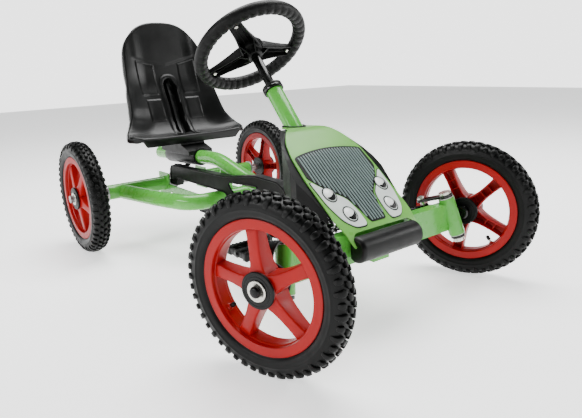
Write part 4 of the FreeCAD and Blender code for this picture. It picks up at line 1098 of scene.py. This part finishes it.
def make_knuckle(side, label):
    pin = JOINTS[f"{label}_kingpin"]
    rod = JOINTS[f"{label}_rod_turn"]
    body = f"{label}_knuckle"
    outward = Vector(JOINTS[f"front_{label}_spin"]["axis"]) * side
    place = frame_at(Vector(pin["pos_m"]), outward, pin["axis"])
    shape = knuckle_bow(side)
    shape.merge(steering_arm(place.inverted() @ Vector(rod["pos_m"]) * 1000))
    put(shape, f"knuckle_{label}_detail", ["coated"], body, place, [f"knuckle_{label}"], 40)
    stud = Shape()
    stud.lathe([(0, -22.5), (4, -22.5), (4.9, -21.5), (4.9, 0), (0, 0)], 24)
    stud.lathe([(0, 6), (7, 6), (7.8, 6.6), (7.8, 11.2), (7, 12), (0, 12)], 6)
    root = frame_at(Vector(rod["pos_m"]), (1, 0, 0), rod["axis"])
    put(stud, f"rod_stud_{label}", ["zinc"], body, root, smooth=30)
    stub = lathed([(0, -44), (12, -44), (15, -42), (15, -38.5), (12, -34), (11, -32), (11, -20.6),
                   (0, -20.6)], 40)
    put(stub, f"stub_{label}", ["coated"], body, wheel_place(f"front_{label}"), smooth=30)


def make_inner_caps():
    """Black cover rings on the hubs' inner ends."""
    inwards = Matrix.Rotation(math.pi, 4, "X")
    for name, (body, *_) in WHEELS.items():
        settle(f"{name}_inner_cap", hub_cap_mesh(INNER_BORE[name.split("_")[0]]), body,
               wheel_place(name) @ inwards)


def pedal_shape():
    """Two ridged rails across the axle's ends, with plates, ribs and a boss between them."""
    shape = Shape()
    for end in (33, -33):
        shape.merge(block((end - 7, -36, -10), (end + 7, 36, 10)).rounded(3, 3, 40))
        for face in (10, -10):
            for middle in range(-30, 31, 10):
                ridge = block((end - 5.5, middle - 2.6, face - 1.2), (end + 5.5, middle + 2.6, face + 1.2))
                shape.merge(ridge.rounded(0.6, 1, 40))
        for near, far in ((7, 34), (-34, -7)):
            plate, rib = math.copysign(31, end), math.copysign(11, end)
            shape.merge(block((near, plate - 3.5, -7), (far, plate + 3.5, 7)).rounded(1.2, 2, 40))
            shape.merge(block((near, rib - 1.8, -6), (far, rib + 1.8, 6)).rounded(0.6, 1, 40))
    boss = [(5.2, -35.2), (8.8, -35.2), (9.6, -34.4), (9.6, 34.4), (8.8, 35.2), (5.2, 35.2)]
    shape.merge(lathed(boss, 28, True), UPRIGHT)
    return shape


def make_pedals():
    mesh = pedal_shape().mesh("pedal_detail", ["black"])
    pad = block((39.4, -20, -5), (41.2, 20, 5)).rounded(0.5, 2, 40)
    for label in ("left", "right"):
        body = f"{label}_pedal"
        place = Matrix.Translation(JOINTS[f"{body}_spin"]["pos_m"])
        settle(f"pedal_{label}_detail", mesh, body, place, [f"pedal_{label}"])
        put(pad, f"pedal_{label}_pad", ["lamp_dark"], body, place)


# Pitch radii of the small sprocket and of the chainring, in mm
CHAIN_RADII = (26.5, 44.6)
CHAIN_LINKS = 102


def chain_loop():
    """Points of the chain's pitch line, in mm, one per pin."""
    rear = Vector((0.0, AXLE_UP * 1000))
    crank = JOINTS["crank_spin"]["pos_m"]
    front = Vector(((crank[0] - REAR_AXLE_X) * 1000, crank[2] * 1000))
    way = front - rear
    small, large = CHAIN_RADII
    lean = math.asin((large - small) / way.length)
    base = math.atan2(way.y, way.x)
    top = base + math.pi / 2 + lean
    low = base - math.pi / 2 - lean

    def tip(centre, radius, angle):
        return centre + Vector(polar(angle, radius))

    sixty = steps_to_one(60)[1:]
    line = [tip(rear, small, mix(top, low + math.tau, share)) for share in steps_to_one(40)]
    line += [tip(rear, small, low).lerp(tip(front, large, low), share) for share in sixty]
    line += [tip(front, large, mix(low, top, share)) for share in sixty]
    line += [tip(front, large, top).lerp(tip(rear, small, top), share) for share in sixty[:-1]]
    lengths = [0.0]
    for first, last in zip(line, line[1:] + line[:1]):
        lengths.append(lengths[-1] + (last - first).length)
    pins = []
    cursor = 0
    for index in range(CHAIN_LINKS):
        want = lengths[-1] * index / CHAIN_LINKS
        while lengths[cursor + 1] < want:
            cursor += 1
        share = (want - lengths[cursor]) / (lengths[cursor + 1] - lengths[cursor])
        pins.append(line[cursor].lerp(line[(cursor + 1) % len(line)], share))
    return pins


def make_chain():
    """A roller chain: alternating inner and outer plates on pins."""
    pins = chain_loop()
    low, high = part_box("chain")
    middle = (low.y + high.y) / 2
    shape = Shape()
    roller = Shape()
    roller.lathe([(0, -3.4), (1.6, -3.4), (1.6, 3.4), (0, 3.4)], 10)
    roller.lathe([(0, -1.8), (3.6, -1.8), (3.6, 1.8), (0, 1.8)], 12)
    end, waist = 4.0, 2.9
    for index, here in enumerate(pins):
        run = pins[(index + 1) % CHAIN_LINKS] - here
        length = run.length
        origin = Vector((REAR_AXLE_X + here.x / 1000, middle, here.y / 1000))
        place = frame_at(origin, (run.x, 0, run.y), (0, 1, 0))
        arc = [polar(math.radians(90 + 22.5 * step), end) for step in range(9)]
        outline = arc + [(length / 2, -waist)] + [(length - x, -y) for x, y in arc] + [(length / 2, waist)]
        inner, outer = (1.7, 2.4) if index % 2 else (2.5, 3.2)
        shape.merge(slab(outline, inner, outer), place)
        shape.merge(slab(outline, -outer, -inner), place)
        shape.merge(roller, place)
    put(shape, "chain_detail", ["chain"], "frame", None, ["chain"], 30)


# (ahead, up) corners of the chain guard
GUARD_EDGE = [
    (12, 152), (12, 196), (22, 211), (59, 213), (333, 220), (470, 240), (560, 238),
    (590, 222), (600, 190), (600, 150), (585, 120), (560, 104), (500, 98), (180, 98),
    (180, 128.4), (380, 128.4), (330, 176), (60, 176), (48, 152),
]
GUARD_WINDOW = [(347, 205), (440, 212), (480, 213), (452, 190), (400, 180), (366, 182)]


def hoop(centre, across, up, radius):
    """Twelve points round a centre, in the plane of two directions; the radius is in mm."""
    around = [polar(math.tau * part / 12, radius / 1000) for part in range(12)]
    return [centre + across * x + up * y for x, y in around]


def bead(shape, corners, inwards, radius):
    """A round rim on the guard's outer face, along a clockwise outline in (ahead, up)."""
    line = round_corners(corners, 9, 6)
    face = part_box("chain_guard")[0].y
    sections = []
    for index, here in enumerate(line):
        run = (line[(index + 1) % len(line)] - line[index - 1]).normalized()
        across = Vector((run.y, 0, -run.x))
        centre = spot(here.x, 0, here.y) + across * (inwards / 1000)
        centre.y = face + 0.0006
        sections.append(hoop(centre, across, Vector((0, 1, 0)), radius))
    sections.append(sections[0])
    shape.grid(sections, True)


def make_guard_rim():
    shape = Shape()
    bead(shape, GUARD_EDGE, 2.0, 2.4)
    bead(shape, GUARD_WINDOW, -2.6, 2.0)
    put(shape, "guard_rim", ["guard"], "frame", smooth=50)


def make_notch_ring():
    """The thin black ring between the bonnet and the head tube."""
    shape = Shape()
    sections = []
    long, wide = 29.6, 22.4
    for share in steps_to_one(48):
        angle = math.radians(mix(-118, 118, share))
        ahead = NOTCH_AHEAD + long * math.cos(angle)
        centre = bonnet_point(max(ahead, BONNET_REAR + 1.0), wide * math.sin(angle), 0.4)
        centre.x = REAR_AXLE_X + ahead / 1000
        side = Vector((math.cos(angle) * wide, math.sin(angle) * long, 0)).normalized()
        sections.append(hoop(centre, side, Vector((0, 0, 1)), 2.3))
    shape.tube(sections)
    put(shape, "notch_ring", ["black"], "frame", smooth=50)


# ---------------------------------------------------------------- floor, light and camera

def make_floor():
    bpy.ops.mesh.primitive_plane_add(size=14, location=(0, 0, 0))
    floor = bpy.context.object
    floor.name = "floor"
    finish = Finish("floor_paint", 0.7, Emission_Color=(1, 1, 1, 1), Emission_Strength=1.0)
    finish.colour(finish.noise(0.8, 2), [(0.3, srgb(246, 246, 246)), (0.7, srgb(251, 251, 251))])
    floor.data.materials.append(finish.material)


def area_light(name, place, target, size, power):
    data = bpy.data.lights.new(name, "AREA")
    data.shape = "RECTANGLE"
    data.size, data.size_y = size
    data.energy = power
    lamp = bpy.data.objects.new(name, data)
    bpy.context.scene.collection.objects.link(lamp)
    lamp.location = place
    lamp.rotation_euler = (Vector(target) - Vector(place)).to_track_quat("-Z", "Y").to_euler()


def make_light():
    world = bpy.data.worlds.new("studio")
    bpy.context.scene.world = world
    world.use_nodes = True
    nodes = world.node_tree.nodes
    links = world.node_tree.links
    place = nodes.new("ShaderNodeTexCoord").outputs["Generated"]
    split = nodes.new("ShaderNodeSeparateXYZ")
    links.new(place, split.inputs["Vector"])
    ramp = nodes.new("ShaderNodeValToRGB")
    set_stops(ramp, [(0.13, (2.9, 2.9, 2.9, 1)), (0.26, (0.16, 0.17, 0.17, 1))])
    links.new(split.outputs["Z"], ramp.inputs["Fac"])
    links.new(ramp.outputs["Color"], nodes["Background"].inputs["Color"])
    nodes["Background"].inputs["Strength"].default_value = 1.0
    area_light("overhead", (-0.5, 0.5, 2.4), (0, 0, 0.2), (2.4, 1.6), 130)
    area_light("left_card", (1.6, 2.4, 1.5), (0, 0, 0.3), (1.8, 0.5), 42)
    area_light("right_card", (0.0, -2.6, 1.6), (0, 0, 0.2), (2.2, 0.5), 48)


def make_camera():
    """Matches a three-quarter view from the kart's front right, a little above it."""
    yaw, pitch, roll = 2.4855, -0.2529, -0.0411
    forward = Vector((math.cos(yaw) * math.cos(pitch), math.sin(yaw) * math.cos(pitch), math.sin(pitch)))
    level = forward.cross(Vector((0, 0, 1))).normalized()
    upright = level.cross(forward)
    right = level * math.cos(roll) + upright * math.sin(roll)
    up = upright * math.cos(roll) - level * math.sin(roll)
    data = bpy.data.cameras.new("camera")
    data.sensor_width = 36
    data.lens = 33.715
    data.shift_x = -0.0055
    data.shift_y = -0.0108
    camera = bpy.data.objects.new("camera", data)
    bpy.context.scene.collection.objects.link(camera)
    matrix = Matrix((right, up, -forward)).transposed().to_4x4()
    matrix.translation = (1.0966, -0.7444, 0.4969)
    camera.matrix_world = matrix
    bpy.context.scene.camera = camera


make_camera()
make_floor()
make_light()
finish_cad_nodes()
make_wheels()
make_axle_ends()
make_steering_wheel()
make_column_collar()
make_bonnet()
make_grille()
make_lamps()
make_bumper()
make_notch_ring()
make_seat()
make_knuckle(1, "left")
make_knuckle(-1, "right")
make_inner_caps()
make_pedals()
make_chain()
make_guard_rim()
